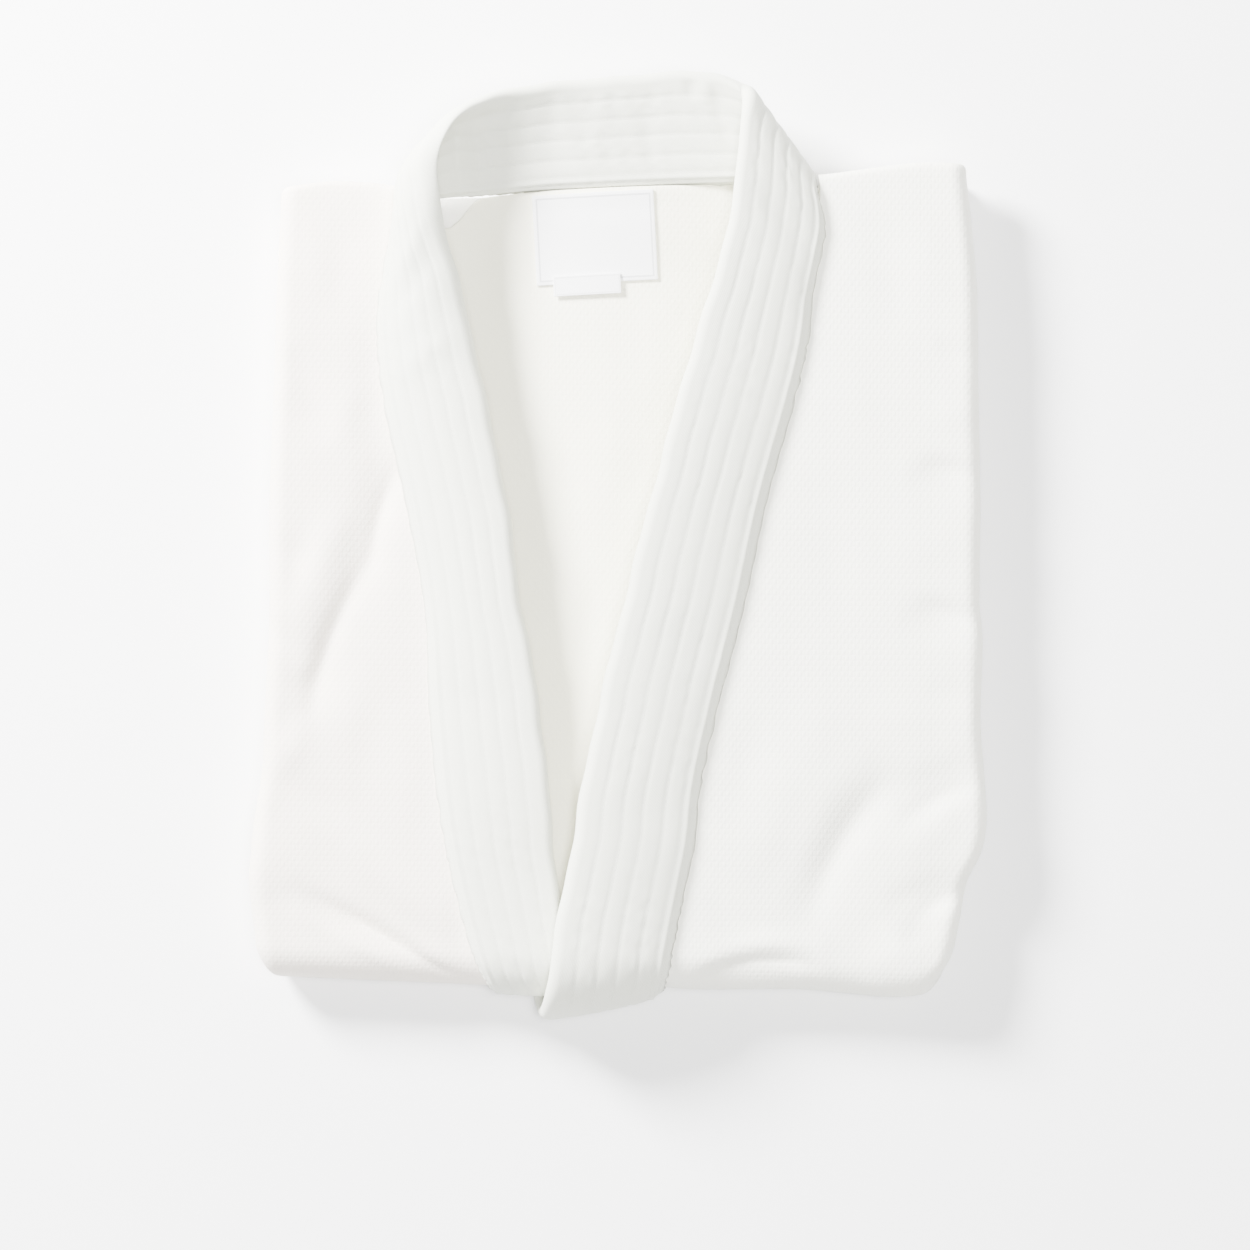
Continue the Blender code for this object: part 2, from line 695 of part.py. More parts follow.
def build_core(seams, material):
    rings = [core_ring(None, angle, seams) for angle in reversed(CORE_ANGLES)]
    rings += [core_ring(i / CORE_TOP_STEPS, 0, seams) for i in range(CORE_TOP_STEPS + 1)]
    count = len(rings[0])
    mesh = ring_mesh(rings)
    mesh.verts.ensure_lookup_table()
    found = {tuple(round(c * 1e6) for c in v.co): v for v in mesh.verts}

    def corner(ring, j):
        return found[tuple(round(c * 1e6) for c in (ring[j % count] * MILLIMETRE))]

    flat, turns = len(CORE_FLAT), len(CORE_TURN)
    under = flat + 2 * (turns + 1)

    def below(j):
        return under + flat - 1 - j

    # the bend's end: upper and lower points of a column joined across
    start = rings[0]
    for j in range(flat - 1):
        quad = (corner(start, j), corner(start, j + 1), corner(start, below(j + 1)), corner(start, below(j)))
        mesh.faces.new(quad)
    for k in range(turns + 1):
        a, b = flat - 1 + k, flat + k
        c, d = under - 1 - k, under - k
        mesh.faces.new((corner(start, a), corner(start, b), corner(start, c), corner(start, d)))
        a, b = count - k, count - 1 - k
        c, d = under + flat + k, under + flat - 1 + k
        if len({a % count, b % count, c % count, d % count}) == 4:
            mesh.faces.new((corner(start, a), corner(start, b), corner(start, c), corner(start, d)))

    # the shoulder end: levels between top and underside, pressed in and out as layers
    end = rings[-1]
    levels = [[None] * flat for _ in range(END_LEVELS + 1)]
    middle = END_LEVELS // 2
    turned = {
        (0, middle - 1): count - turns,
        (0, middle + 1): under + flat + turns - 1,
        (flat - 1, middle - 1): flat + turns - 1,
        (flat - 1, middle + 1): under - turns,
    }
    grooves = {0: (count - 1 - turns, under + flat + turns), flat - 1: (flat + turns, under - turns - 1)}
    for j in range(flat):
        top, low = end[j], end[below(j)]
        levels[0][j], levels[END_LEVELS][j] = corner(end, j), corner(end, below(j))
        for k in range(1, END_LEVELS):
            if (j, k) in turned:
                levels[k][j] = corner(end, turned[(j, k)])
                continue
            spot = top.lerp(low, k / END_LEVELS)
            if j not in grooves:
                spot.y += END_RELIEF[k] * (0.7 + 0.3 * math.sin(1.7 * j + k))
            elif k == middle:
                spot = end[grooves[j][0]].lerp(end[grooves[j][1]], 0.5)
                spot.x -= math.copysign(2 * CORE_GROOVE, spot.x)
            elif k < middle:
                spot = top.lerp(end[turned[(j, middle - 1)]], k / (middle - 1))
            else:
                spot = low.lerp(end[turned[(j, middle + 1)]], (END_LEVELS - k) / (middle - 1))
            levels[k][j] = mesh.verts.new(spot * MILLIMETRE)
    for k in range(END_LEVELS):
        for j in range(flat - 1):
            mesh.faces.new((levels[k][j], levels[k][j + 1], levels[k + 1][j + 1], levels[k + 1][j]))
    for column, upper, lower in (
        (0, list(range(count - turns, count)), list(range(under + flat, under + flat + turns))),
        (flat - 1, list(range(flat, flat + turns)), list(range(under - turns, under))),
    ):
        arc = [corner(end, j) for j in upper]
        chord = [levels[k][column] for k in range(0, middle)]
        if column == 0:
            arc = arc[::-1]
        mesh.faces.new([chord[0]] + arc[:-1] + chord[:0:-1])
        arc = [corner(end, j) for j in lower]
        chord = [levels[k][column] for k in range(END_LEVELS, middle, -1)]
        if column == flat - 1:
            arc = arc[::-1]
        mesh.faces.new([chord[0]] + arc[:-1] + chord[:0:-1])
        inner = [levels[k][column] for k in range(middle - 1, middle + 2)]
        mesh.faces.new(inner + [corner(end, grooves[column][1]), corner(end, grooves[column][0])])
    add_object("folded_layers", mesh, material)


# Half of the jacket folded under

SKIRT_ROWS = 15
SKIRT_FLAT = 11
SKIRT_END = 4.0


def skirt_along(share, x):
    """Place along the cloth of one row of the skirt, from the bend to its hem."""
    bend = bend_line(x)
    start = bend + PAST_BEND + SEAM_GAP
    end = along(SHOULDERS, "x", "y", x) - SKIRT_END
    return bend - math.pi * BEND_RATE - (mix(start, end, share) - bend)


def skirt_point(i, j):
    turns = len(SIDE_TURN)
    side = -1 if j < turns else (1 if j >= turns + SKIRT_FLAT else 0)

    def place_of(x):
        return skirt_along(i / (SKIRT_ROWS - 1), x)

    if side == 0:
        x = mix(side_centre(-1, place_of), side_centre(1, place_of), (j - turns) / (SKIRT_FLAT - 1))
        return cover(x, place_of(x), 0.0)
    centre = side_centre(side, place_of)
    half = half_lower(centre)
    turn = math.radians(SIDE_TURN[turns - 1 - j if side < 0 else j - turns - SKIRT_FLAT])
    x = centre + side * half * math.sin(turn)
    return cover(x, place_of(x), -half * (1 - math.cos(turn)))


def build_skirt(material):
    columns = SKIRT_FLAT + 2 * len(SIDE_TURN)
    mesh = sheet_mesh(SKIRT_ROWS, columns, skirt_point)
    add_object("skirt_lower_half", mesh, material, WALL)


def build_band(rings, material):
    laid = [[cover(p.x, p.y, p.z) for p in ring] for ring in rings]
    for place in (p for ring in laid for p in ring):
        place.z = max(place.z, 0.0)
    mesh = ring_mesh(laid)
    count = len(laid[0])
    half = (count - 1) // 2
    mesh.verts.ensure_lookup_table()
    found = {tuple(round(c * 1e6) for c in v.co): v for v in mesh.verts}
    for ring in (laid[0], laid[-1]):
        verts = [found[tuple(round(c * 1e6) for c in (p * MILLIMETRE))] for p in ring]
        for j in range(half - 1):
            mesh.faces.new((verts[j], verts[j + 1], verts[count - 2 - j], verts[count - 1 - j]))
        mesh.faces.new((verts[half - 1], verts[half], verts[half + 1]))
    add_object("collar_band", mesh, material)


def centre_over_origin():
    """Move every piece so that the whole stands centred on the origin."""
    graph = bpy.context.evaluated_depsgraph_get()
    low, high = Vector((1, 1, 1)), Vector((-1, -1, -1))
    for item in bpy.data.objects:
        for corner in item.evaluated_get(graph).bound_box:
            for k in range(3):
                low[k], high[k] = min(low[k], corner[k]), max(high[k], corner[k])
    middle = (low + high) / 2
    for item in bpy.data.objects:
        item.data.transform(Matrix.Translation((-middle.x, -middle.y, -low.z)))


def main():
    remove_everything()
    group = bpy.data.collections.new("folded_judo_jacket")
    bpy.context.scene.collection.children.link(group)
    front_cloth = cloth("front_weave", (0.90, 0.89, 0.88), 0.95)
    back_cloth = cloth("back_weave", (0.93, 0.93, 0.91), 0.95)
    band_cloth = cloth("band_cotton", (0.89, 0.89, 0.88), 0.9)
    skirt_cloth = cloth("skirt_cotton", (0.90, 0.89, 0.88), 0.95)
    layer_cloth = cloth("layer_cotton", (0.86, 0.86, 0.85), 0.95)
    label_cloth = cloth("label_satin", (0.86, 0.86, 0.86), 0.6)
    tag_cloth = cloth("tag_satin", (0.92, 0.92, 0.92), 0.6)
    rings = band_rings()
    limits = (seam_limits(rings, -1), seam_limits(rings, 1))
    build_band(rings, band_cloth)
    build_front("front_right", -1, limits[0], front_cloth)
    build_front("front_left", 1, limits[1], front_cloth)
    points = build_back(limits, rings, back_cloth)
    label_lift = WALL / 2 + 0.35 + LABEL_WALL / 2
    build_patch("label", LABEL_MIDDLE, LABEL_SIZE, LABEL_TURN, label_lift, LABEL_WALL, points, label_cloth)
    tag_lift = label_lift + LABEL_WALL / 2 + 0.35 + TAG_WALL / 2
    build_patch("size_tag", TAG_MIDDLE, TAG_SIZE, LABEL_TURN, tag_lift, TAG_WALL, points, tag_cloth)
    build_core(limits, layer_cloth)
    build_skirt(skirt_cloth)
    centre_over_origin()


main()
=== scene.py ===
"""A white judo jacket folded in half and laid flat: its cloth, stitching, label and folds.

Every piece is worked out in the cloth's own plane (x across, t along from the bend at the waist to
the shoulders, lift off the outer wall) and then laid round that bend. Sizes are in millimetres
here and are turned to metres when a mesh is made.
"""

import math
from collections import namedtuple

import bmesh
import bpy
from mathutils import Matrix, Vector


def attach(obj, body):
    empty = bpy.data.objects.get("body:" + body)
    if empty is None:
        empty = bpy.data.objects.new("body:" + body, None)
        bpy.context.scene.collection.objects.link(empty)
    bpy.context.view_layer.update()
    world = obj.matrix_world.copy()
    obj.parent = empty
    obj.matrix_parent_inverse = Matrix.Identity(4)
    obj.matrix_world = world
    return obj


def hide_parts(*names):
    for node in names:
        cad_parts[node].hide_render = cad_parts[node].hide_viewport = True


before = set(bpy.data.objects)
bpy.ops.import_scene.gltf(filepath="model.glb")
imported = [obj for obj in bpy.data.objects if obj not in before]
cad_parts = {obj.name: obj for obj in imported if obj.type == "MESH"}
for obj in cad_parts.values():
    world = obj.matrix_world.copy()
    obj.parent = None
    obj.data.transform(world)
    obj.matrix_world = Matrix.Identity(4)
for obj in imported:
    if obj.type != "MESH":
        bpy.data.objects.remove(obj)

MILLIMETRE = 0.001

# Where the garment's own middle lies, so that the whole stands centred on the origin
MIDDLE = Vector((0.13, 0.324, -0.004))

# Cloth
WALL = 2.0
SEAM_GAP = 0.5
LAYER_GAP = 0.8

# The folded stack: half heights of its two slabs at the sides, and how much more in the middle
HALF_UPPER = 6.5
HALF_LOWER = 5.0
SWELL = 1.5
SWELL_WIDTH = 70.0
HALF_GROOVE = 2.2

# First guesses where a place is found by trying again: x by the sides, x on a front, y by the neck
NEAR_SIDE = 150.0
NEAR_MIDDLE = 110.0
NEAR_NECK = 150.0

# The bend at the waist: length of cloth for each radian, and how far the fronts run past it
BEND_RATE = 16.0
PAST_BEND = 1.0

# Shoulders: radius of the turned edge and how far it runs back inside
SHOULDER_RADIUS = 2.0
SHOULDER_TURN = 6.3
SHOULDER_FLAP = 12.0

# Neck band and lapels: one quilted band. Rows of stitching are shares of its width from the seam
BAND_WIDTH = 50.0
BAND_HALF = 3.5
BAND_SEAM_HALF = 1.8
LIP_SHARE = -0.034
LIP_HALF = 0.9
THROAT_HALF = 0.1
SEAM_TAPER = 0.06
BAND_ROWS = (0.105, 0.263, 0.45, 0.614, 0.79)
ROW_GROOVE = 0.32
ROW_WIDTH = 0.014
ROW_PUFF = 0.12
PUFF_FROM = 0.02
PUFF_RISE = 0.05
EDGE_ROW = 0.04
EDGE_ROW_GROOVE = 0.4
EDGE_ROW_WIDTH = 0.01
PUCKER = 0.204
PUCKER_OFF = 0.03
PUCKER_LEAST = 0.6
BUCKLE_MARGIN = 0.1
BAND_FINE = 6

# Waves along the band: length for each radian, height, and radians that each shifts over the width
Wave = namedtuple("Wave", "length height shift")
EDGE_ROW_WAVES = (Wave(1.1, 0.5, 0),)
GROOVE_WAVES = (Wave(11, 0.25, 40),)
PUCKER_WAVES = (Wave(1.45, 1.0, 9), Wave(2.3, 0.6, 31))
PUCKER_DRIFT = (Wave(17, 0.4, 13),)
WIDTH_WAVES = (Wave(9, 0.35, 0), Wave(4.3, 0.25, 1))
SCALLOPS = (Wave(0.62, 0.18, 0), Wave(2.1, 0.12, 0))

# How the fronts keep clear of the band: lifts that count, where the shoulder starts and how near the
# middle it counts, and the steps along the cloth
WALL_REACH = 1.9
WALL_TOP = 1.1
SHOULDER_LOW = -5.6
SHOULDER_FROM = 142.0
LIMIT_STEP = 1.5
LIMIT_LEAST = 72.0

# Back panel in the neck opening: how far it runs under the fronts, how it sinks from there to the
# middle, and how far its middle rises again
BACK_OVERLAP = 16.0
BACK_BOTTOM = -160.0
BACK_FLAT_TOP = 142.0
SEAM_SAG = 4.0
SAG_UNDER = 14.0
SAG_WIDTH = 34.0
DEPTH_LOW = 6.0
DEPTH_HIGH = 13.5
NECK_RISE = 2.2
BACK_CROWN = 2.5
CROWN_FROM = 20.0

# Where the neck band's seam bounds the back
NECK_LEFT = -70.0
NECK_RIGHT = 78.0
NECK_LOW = 155.0

# Hidden layers
CORE_INSET = 4.8
CORE_UNDER = 3.2
CORE_GAP = 2.4
CORE_SHOULDER = 0.9
CORE_END = 3.5
CORE_GROOVE = 3.5
CORE_BEND_GAP = 0.3

# How much deeper the hidden layers lie where two lapels, or one, come round the bend: x from, to, depth
Lapels = namedtuple("Lapels", "left right depth")
LAPELS_UNDER = (Lapels(-62, -8, 8.4), Lapels(-10, 17, 4.4))
LAPEL_EDGE = 7.0

# Edges of the layers at the neck end: share of a layer, and how far it is pushed along the cloth
Press = namedtuple("Press", "share push")
LAYER_EDGE = (Press(0.15, 0.6), Press(0.5, 0.4), Press(0.8, -2.2), Press(1.0, -2.6))

Side = namedtuple("Side", "y left right")
SIDES = (
    Side(-200, -153, 136),
    Side(-196, -154.6, 139),
    Side(-184, -158.6, 146.6),
    Side(-166, -160.9, 151),
    Side(-148, -162.7, 154.6),
    Side(-135, -161.8, 160.9),
    Side(-121, -160.4, 163.1),
    Side(-99, -156.9, 161.8),
    Side(-77, -156, 160.4),
    Side(-41, -154.2, 161.3),
    Side(-24, -153.7, 160),
    Side(21, -153.7, 160.4),
    Side(65, -152, 159.5),
    Side(110, -150.5, 159),
    Side(132, -149.5, 157.5),
    Side(165, -148, 154),
)

UNDER_SIDES = (
    Side(-185, -155, 146),
    Side(-60, -152, 156),
    Side(165, -146, 152),
)

Line = namedtuple("Line", "x y")
HEM_FOLD = (
    Line(-155, -191),
    Line(-120, -192.5),
    Line(-85, -194),
    Line(-60, -195),
    Line(-20, -196),
    Line(20, -196),
    Line(35, -197),
    Line(80, -197),
    Line(105, -199),
    Line(120, -200.5),
    Line(135, -199.5),
    Line(150, -195),
)
SHOULDERS = (
    Line(-148, 158.5),
    Line(-128, 161),
    Line(-110, 160.5),
    Line(-92, 158.5),
    Line(0, 161),
    Line(90, 164),
    Line(110, 166.5),
    Line(135, 169.5),
    Line(154, 169),
)

# Folds: from one end to the other, how far the middle bows aside, height (less than 0 is a valley),
# half width
Fold = namedtuple("Fold", "x0 y0 x1 y1 bow height half")
FRONT_FOLDS = (
    Fold(-96, 50, -118, -42, 2, -2.9, 10),
    Fold(-118, -30, -150, -88, -3, -2.9, 11),
    Fold(-107, 112, -103, 10, 2, -1.8, 9),
    Fold(-146, -150, -66, -200, 0, -2.8, 8),
    Fold(-120, -128, -70, -172, 0, 1.4, 9),
    Fold(-144, 90, -128, 45, 0, -1.6, 8),
    Fold(-156, -30, -138, -52, 0, -1.5, 6),
    Fold(-150, -155, -168, -130, 0, 1.4, 14),
    Fold(128, -92, 76, -178, 4, -2.2, 13),
    Fold(96, -60, 60, -150, 0, 1.2, 14),
    Fold(30, -196, 82, -188, -4, -2.2, 7),
    Fold(164, 22, 128, 34, 0, -1.4, 7),
    Fold(162, -38, 124, -30, 0, -1.4, 8),
    Fold(164, -96, 120, -112, 0, -1.8, 8),
    Fold(158, -146, 118, -160, 0, -2.0, 7),
    Fold(146, -202, 112, -168, 0, 1.6, 9),
)
SMALL_FOLDS = (
    Fold(-94, 42, -110, -14, 3, -1.9, 4),
    Fold(-107, 0, -138, -78, 4, -2.8, 5),
    Fold(-118, 20, -146, -54, 3, 1.4, 8),
    Fold(-138, -60, -152, -104, -3, 1.4, 7),
    Fold(-144, -151, -70, -194, -2, -2.6, 3.2),
    Fold(-146, -160, -84, -196, -2, 1.6, 4),
    Fold(-112, -146, -76, -178, 2, -0.9, 4),
    Fold(126, -96, 84, -168, 5, -1.7, 6),
    Fold(112, -84, 70, -160, 3, 1.0, 9),
    Fold(34, -190, 92, -186, -6, -2.4, 3.6),
    Fold(48, -180, 96, -180, -4, 1.1, 5),
    Fold(160, -150, 126, -170, 2, -1.9, 4),
    Fold(161, -104, 124, -124, 2, -1.8, 4),
    Fold(161, 30, 134, 37, 1, -1.5, 4),
    Fold(160, -34, 132, -25, 1, -1.5, 4),
    Fold(-124, 24, -131, -36, 2, 0.7, 7),
    Fold(-138, 20, -150, -30, -3, -0.6, 6),
    Fold(-103, -60, -112, -120, 3, -0.6, 8),
    Fold(-92, -70, -96, -130, -2, 0.5, 7),
    Fold(-146, -96, -118, -122, 2, -0.7, 7),
    Fold(-150, -118, -108, -140, -3, 0.5, 8),
    Fold(-140, -158, -112, -172, 2, -0.8, 4),
    Fold(-128, -172, -78, -190, -2, 0.7, 5),
    Fold(-88, -184, -62, -194, 1, -0.7, 4),
    Fold(-118, 150, -122, 96, 2, -0.5, 7),
    Fold(-136, 150, -134, 108, -2, 0.5, 7),
    Fold(-112, 76, -126, 40, 2, 0.5, 6),
    Fold(-150, 66, -134, 50, 0, -0.6, 5),
    Fold(-152, 4, -136, -8, 1, -0.6, 5),
    Fold(-152, -66, -134, -70, 1, 0.5, 5),
    Fold(-72, -150, -66, -188, 1, -0.6, 5),
    Fold(112, 150, 124, 90, -3, -0.6, 9),
    Fold(138, 152, 142, 104, 2, 0.5, 8),
    Fold(100, 96, 112, 40, 2, 0.4, 10),
    Fold(84, 30, 98, -36, -3, -0.5, 10),
    Fold(140, 90, 160, 82, 1, -0.7, 5),
    Fold(134, 58, 161, 60, 1, 0.5, 6),
    Fold(118, 4, 150, -2, 2, 0.5, 8),
    Fold(136, -62, 161, -70, -1, -0.7, 6),
    Fold(110, -70, 142, -80, 2, 0.5, 8),
    Fold(64, -70, 50, -130, 2, -0.5, 8),
    Fold(84, -110, 62, -160, -2, -0.6, 8),
    Fold(110, -118, 92, -164, 2, 0.6, 8),
    Fold(150, -118, 122, -136, -2, 0.7, 7),
    Fold(148, -164, 124, -178, 1, -0.8, 4),
    Fold(136, -178, 108, -186, 1, 0.6, 5),
    Fold(34, -186, 84, -178, -3, 0.9, 6),
    Fold(40, -150, 60, -184, 2, -0.5, 7),
    Fold(92, -176, 118, -192, 1, -0.5, 5),
)
BACK_FOLDS = (
    Fold(-62, 146, -48, 92, 4, -0.9, 8),
    Fold(-40, 118, -30, 60, -2, 0.6, 9),
    Fold(-70, 96, -46, 40, 3, -0.7, 8),
    Fold(46, 140, 30, 92, -3, -0.8, 8),
    Fold(22, 120, 18, 58, 2, 0.6, 9),
    Fold(30, 84, 8, 20, -3, -0.7, 9),
    Fold(-26, 60, -18, -10, 2, -0.6, 8),
    Fold(-2, 74, -8, 12, -2, 0.5, 8),
    Fold(-36, 16, -24, -44, 2, 0.5, 7),
    Fold(-10, -10, -16, -70, 1, -0.6, 6),
    Fold(-44, 152, 40, 153, 2, -0.5, 5),
)
UNDER_FOLDS = (
    Fold(-120, -120, -70, -40, 6, -1.1, 12),
    Fold(60, -150, 110, -60, -5, -1.2, 12),
    Fold(-40, -170, -20, -90, 4, -0.8, 10),
    Fold(140, -20, 80, 30, 3, -1.0, 9),
    Fold(-146, 20, -90, 60, -4, -1.1, 10),
    Fold(-60, 140, -30, 60, 5, -0.9, 10),
    Fold(40, 150, 30, 70, -4, -0.8, 11),
    Fold(120, 150, 100, 90, 3, -1.0, 9),
    Fold(-130, 150, -110, 100, 2, -0.8, 8),
    Fold(0, 20, 30, -50, 4, -0.7, 12),
    Fold(150, -120, 120, -150, 1, -0.9, 8),
)

# The band's centre sheet from the wearer's right lapel over the neck to the left lapel:
# its seamed edge, its free edge, their lifts off the outer wall, how far it bulges outward between
# them, how much of its thickness is left where it is pressed, and the steps to the next row
Band = namedtuple("Band", "seam_x seam_t seam_lift free_x free_t free_lift bulge press steps")
BAND = (
    Band(-52.0, -228.5, -6.8, -14.0, -228.5, -7.4, 0.3, 0.5, 1),
    Band(-52.8, -222.6, -5.2, -14.7, -222.6, -6.6, 0.3, 0.6, 1),
    Band(-53.5, -216.7, -3.0, -15.5, -216.7, -4.8, 0.3, 0.75, 1),
    Band(-55.0, -204.0, 1.0, -17.5, -204.0, 1.0, 0.5, 0.9, 2),
    Band(-57.5, -191.6, 1.2, -19.6, -191.6, 1.6, 0.6, 1, 2),
    Band(-63.0, -179.0, 1.2, -22.0, -179.0, 1.6, 0.8, 1, 1),
    Band(-67.4, -164.0, 1.2, -24.3, -164.0, 1.4, 1, 1, 1),
    Band(-72.3, -144.0, 1.2, -26.9, -144.0, 1.8, 1.5, 1, 2),
    Band(-77.7, -113.0, 1.2, -29.6, -113.0, 4.0, 2.5, 1, 2),
    Band(-81.7, -68.0, 1.2, -34.5, -68.0, 5.5, 3, 1, 2),
    Band(-84.3, -24.0, 1.2, -42.5, -24.0, 6.5, 3.5, 1, 2),
    Band(-92.3, 21.0, 1.2, -48.7, 21.0, 7.0, 4, 1, 2),
    Band(-102.1, 65.6, 1.2, -58.0, 65.6, 8.0, 5, 1, 2),
    Band(-105.2, 96.6, 1.2, -64.7, 96.6, 9.5, 6.5, 1, 1),
    Band(-103.5, 115.7, 1.4, -69.6, 115.7, 12.0, 7.5, 1, 1),
    Band(-99.9, 134.8, 1.6, -75.0, 134.8, 16.0, 8, 1, 1),
    Band(-96.0, 145.0, 0.0, -78.5, 152.0, 20.0, 8, 1, 2),
    Band(-91.0, 152.0, -4.0, -80.0, 170.0, 22.0, 8, 1, 2),
    Band(-84.0, 155.0, -6.5, -75.9, 182.0, 22.0, 7, 1, 2),
    Band(-74.5, 156.3, -8.5, -67.9, 192.0, 18.0, 6, 1, 2),
    Band(-62.0, 157.0, -10.0, -59.4, 197.5, 13.0, 4.5, 1, 1),
    Band(-50.0, 158.0, -11.0, -48.7, 201.6, 7.0, 3.5, 1, 1),
    Band(-34.5, 159.2, -12.3, -33.2, 204.3, 1.0, 2, 1, 1),
    Band(-16.7, 160.0, -13.3, -16.7, 206.3, -2.5, 1, 1, 2),
    Band(1.1, 160.8, -13.6, 1.1, 208.3, -3.4, 0.5, 1, 2),
    Band(22.0, 161.6, -13.2, 20.0, 209.8, -3.0, 0.5, 1, 1),
    Band(42.0, 162.2, -11.4, 34.0, 210.0, -1.6, 0.5, 1, 1),
    Band(59.0, 162.6, -9.4, 44.0, 209.0, 0.0, 0.5, 1, 1),
    Band(74.0, 162.8, -8.2, 51.0, 206.5, 2.4, 0.5, 1, 1),
    Band(83.5, 162.4, -6.6, 55.0, 203.4, 4.7, 0.3, 1, 1),
    Band(86.8, 160.8, -2.7, 56.3, 199.5, 7.9, 0, 1, 1),
    Band(87.2, 157.0, 1.0, 55.6, 194.0, 10.6, 0, 1, 1),
    Band(89.4, 150.0, 1.3, 54.2, 184.0, 11.2, 0.5, 1, 1),
    Band(90.6, 140.0, 1.3, 52.3, 166.0, 10.6, 1, 1, 1),
    Band(88.3, 127.0, 1.3, 48.8, 144.0, 9.6, 1.2, 1, 1),
    Band(84.8, 109.0, 1.2, 43.4, 120.0, 8.6, 1.2, 1, 1),
    Band(82.6, 90.0, 1.2, 35.2, 96.0, 8.0, 1.2, 1, 2),
    Band(76.8, 65.4, 1.2, 26.5, 65.4, 8.0, 1.2, 1, 2),
    Band(64.3, 21.0, 1.2, 14.5, 21.0, 8.0, 1.2, 1, 2),
    Band(54.5, -24.0, 1.2, 2.9, -24.0, 8.2, 1.2, 1, 2),
    Band(43.4, -68.0, 1.2, -7.8, -68.0, 8.8, 1.2, 1, 2),
    Band(35.4, -104.0, 1.2, -15.4, -104.0, 9.5, 1.2, 1, 1),
    Band(32.3, -130.4, 1.2, -19.8, -130.4, 10.3, 1.2, 1, 1),
    Band(27.8, -152.6, 1.2, -24.3, -152.6, 11.0, 1.2, 1, 2),
    Band(22.5, -179.0, 1.4, -29.1, -179.0, 11.8, 1.2, 1, 2),
    Band(19.8, -191.6, 1.8, -32.5, -191.6, 12.2, 1.2, 1, 2),
    Band(17.6, -204.0, 1.8, -36.0, -204.0, 12.0, 1.2, 1, 2),
    Band(15.0, -216.7, -0.6, -39.0, -216.7, 4.0, 1.2, 0.9, 1),
    Band(13.8, -222.6, -1.4, -40.4, -222.6, 0.4, 1.2, 0.85, 1),
    Band(12.5, -228.5, -1.8, -41.5, -228.5, -1.8, 1.2, 0.8, 0),
)

# Buckles of the band, on its inner face (side -1) or its outer face (side 1)
Buckle = namedtuple("Buckle", "x0 y0 x1 y1 bow height half side")
BUCKLES = (
    Buckle(-72, 196, -70, 158, 1, -1.6, 2.6, -1),
    Buckle(-66, 194, -62, 160, -1, 1.2, 3.0, -1),
    Buckle(-59, 196, -56, 162, 1, -1.4, 2.4, -1),
    Buckle(-68, 188, -44, 197, 2, -1.3, 2.4, -1),
    Buckle(-50, 198, -46, 170, 1, 0.8, 4.0, -1),
    Buckle(-30, 204, -28, 166, 1, -0.6, 4.0, -1),
    Buckle(-8, 206, -10, 168, -1, 0.5, 5.0, -1),
    Buckle(14, 207, 16, 166, 1, -0.6, 4.0, -1),
    Buckle(32, 208, 34, 198, 0, -1.2, 2.0, -1),
    Buckle(38, 208, 42, 196, 0, 1.0, 2.2, -1),
    Buckle(44, 206, 52, 170, 1, -0.8, 3.0, -1),
    Buckle(-104, 100, -78, 132, 2, -0.9, 5.0, 1),
    Buckle(-100, 70, -66, 96, -2, 0.8, 6.0, 1),
    Buckle(-98, 118, -80, 150, 2, 0.8, 4.0, 1),
    Buckle(88, 132, 60, 160, -2, -0.9, 4.5, 1),
    Buckle(86, 104, 58, 128, 2, 0.7, 6.0, 1),
    Buckle(20, -30, 46, -52, 2, -0.5, 8.0, 1),
    Buckle(-2, -110, 26, -126, -2, -0.5, 8.0, 1),
    Buckle(-80, -60, -44, -72, 2, -0.5, 8.0, 1),
)

# Woven label and size tag on the inside of the back: middle, size, turn in degrees, wall, and how far
# the piece's middle lies over the back's
Patch = namedtuple("Patch", "name node x y wide high turn wall lift")
LABEL = Patch("woven_label", "label", -10.0, 137.5, 54.0, 40.0, 3.0, 0.8, 1.75)
TAG = Patch("bare_tag", "size_tag", -13.5, 116.5, 30.0, 9.0, 3.0, 0.6, 2.8)


# Curves through the tables

def smooth(value):
    value = min(max(value, 0.0), 1.0)
    return value * value * (3.0 - 2.0 * value)


def mix(a, b, share):
    return a + (b - a) * share


def bell(off, width):
    """1 in the middle, falling softly to 0 on both sides."""
    return math.exp(-((off / width) ** 2))


def waves(table, run, share=0.0):
    return sum(wave.height * math.sin(run / wave.length + wave.shift * share) for wave in table)


def slope(rows, key, name, i):
    """How fast a column changes at row i of a table."""
    low, high = max(i - 1, 0), min(i + 1, len(rows) - 1)
    rise = getattr(rows[high], name) - getattr(rows[low], name)
    return rise / (getattr(rows[high], key) - getattr(rows[low], key))


def along(rows, key, name, value):
    """A smooth curve through one column of a table, read where its key column has a value."""
    if value <= getattr(rows[0], key):
        return getattr(rows[0], name)
    if value >= getattr(rows[-1], key):
        return getattr(rows[-1], name)
    i = 0
    while getattr(rows[i + 1], key) < value:
        i += 1
    start, width = getattr(rows[i], key), getattr(rows[i + 1], key) - getattr(rows[i], key)
    u = (value - start) / width
    a, b = getattr(rows[i], name), getattr(rows[i + 1], name)
    before = slope(rows, key, name, i) * width
    after = slope(rows, key, name, i + 1) * width
    return (
        a * (2 * u**3 - 3 * u**2 + 1)
        + before * (u**3 - 2 * u**2 + u)
        + b * (3 * u**2 - 2 * u**3)
        + after * (u**3 - u**2)
    )


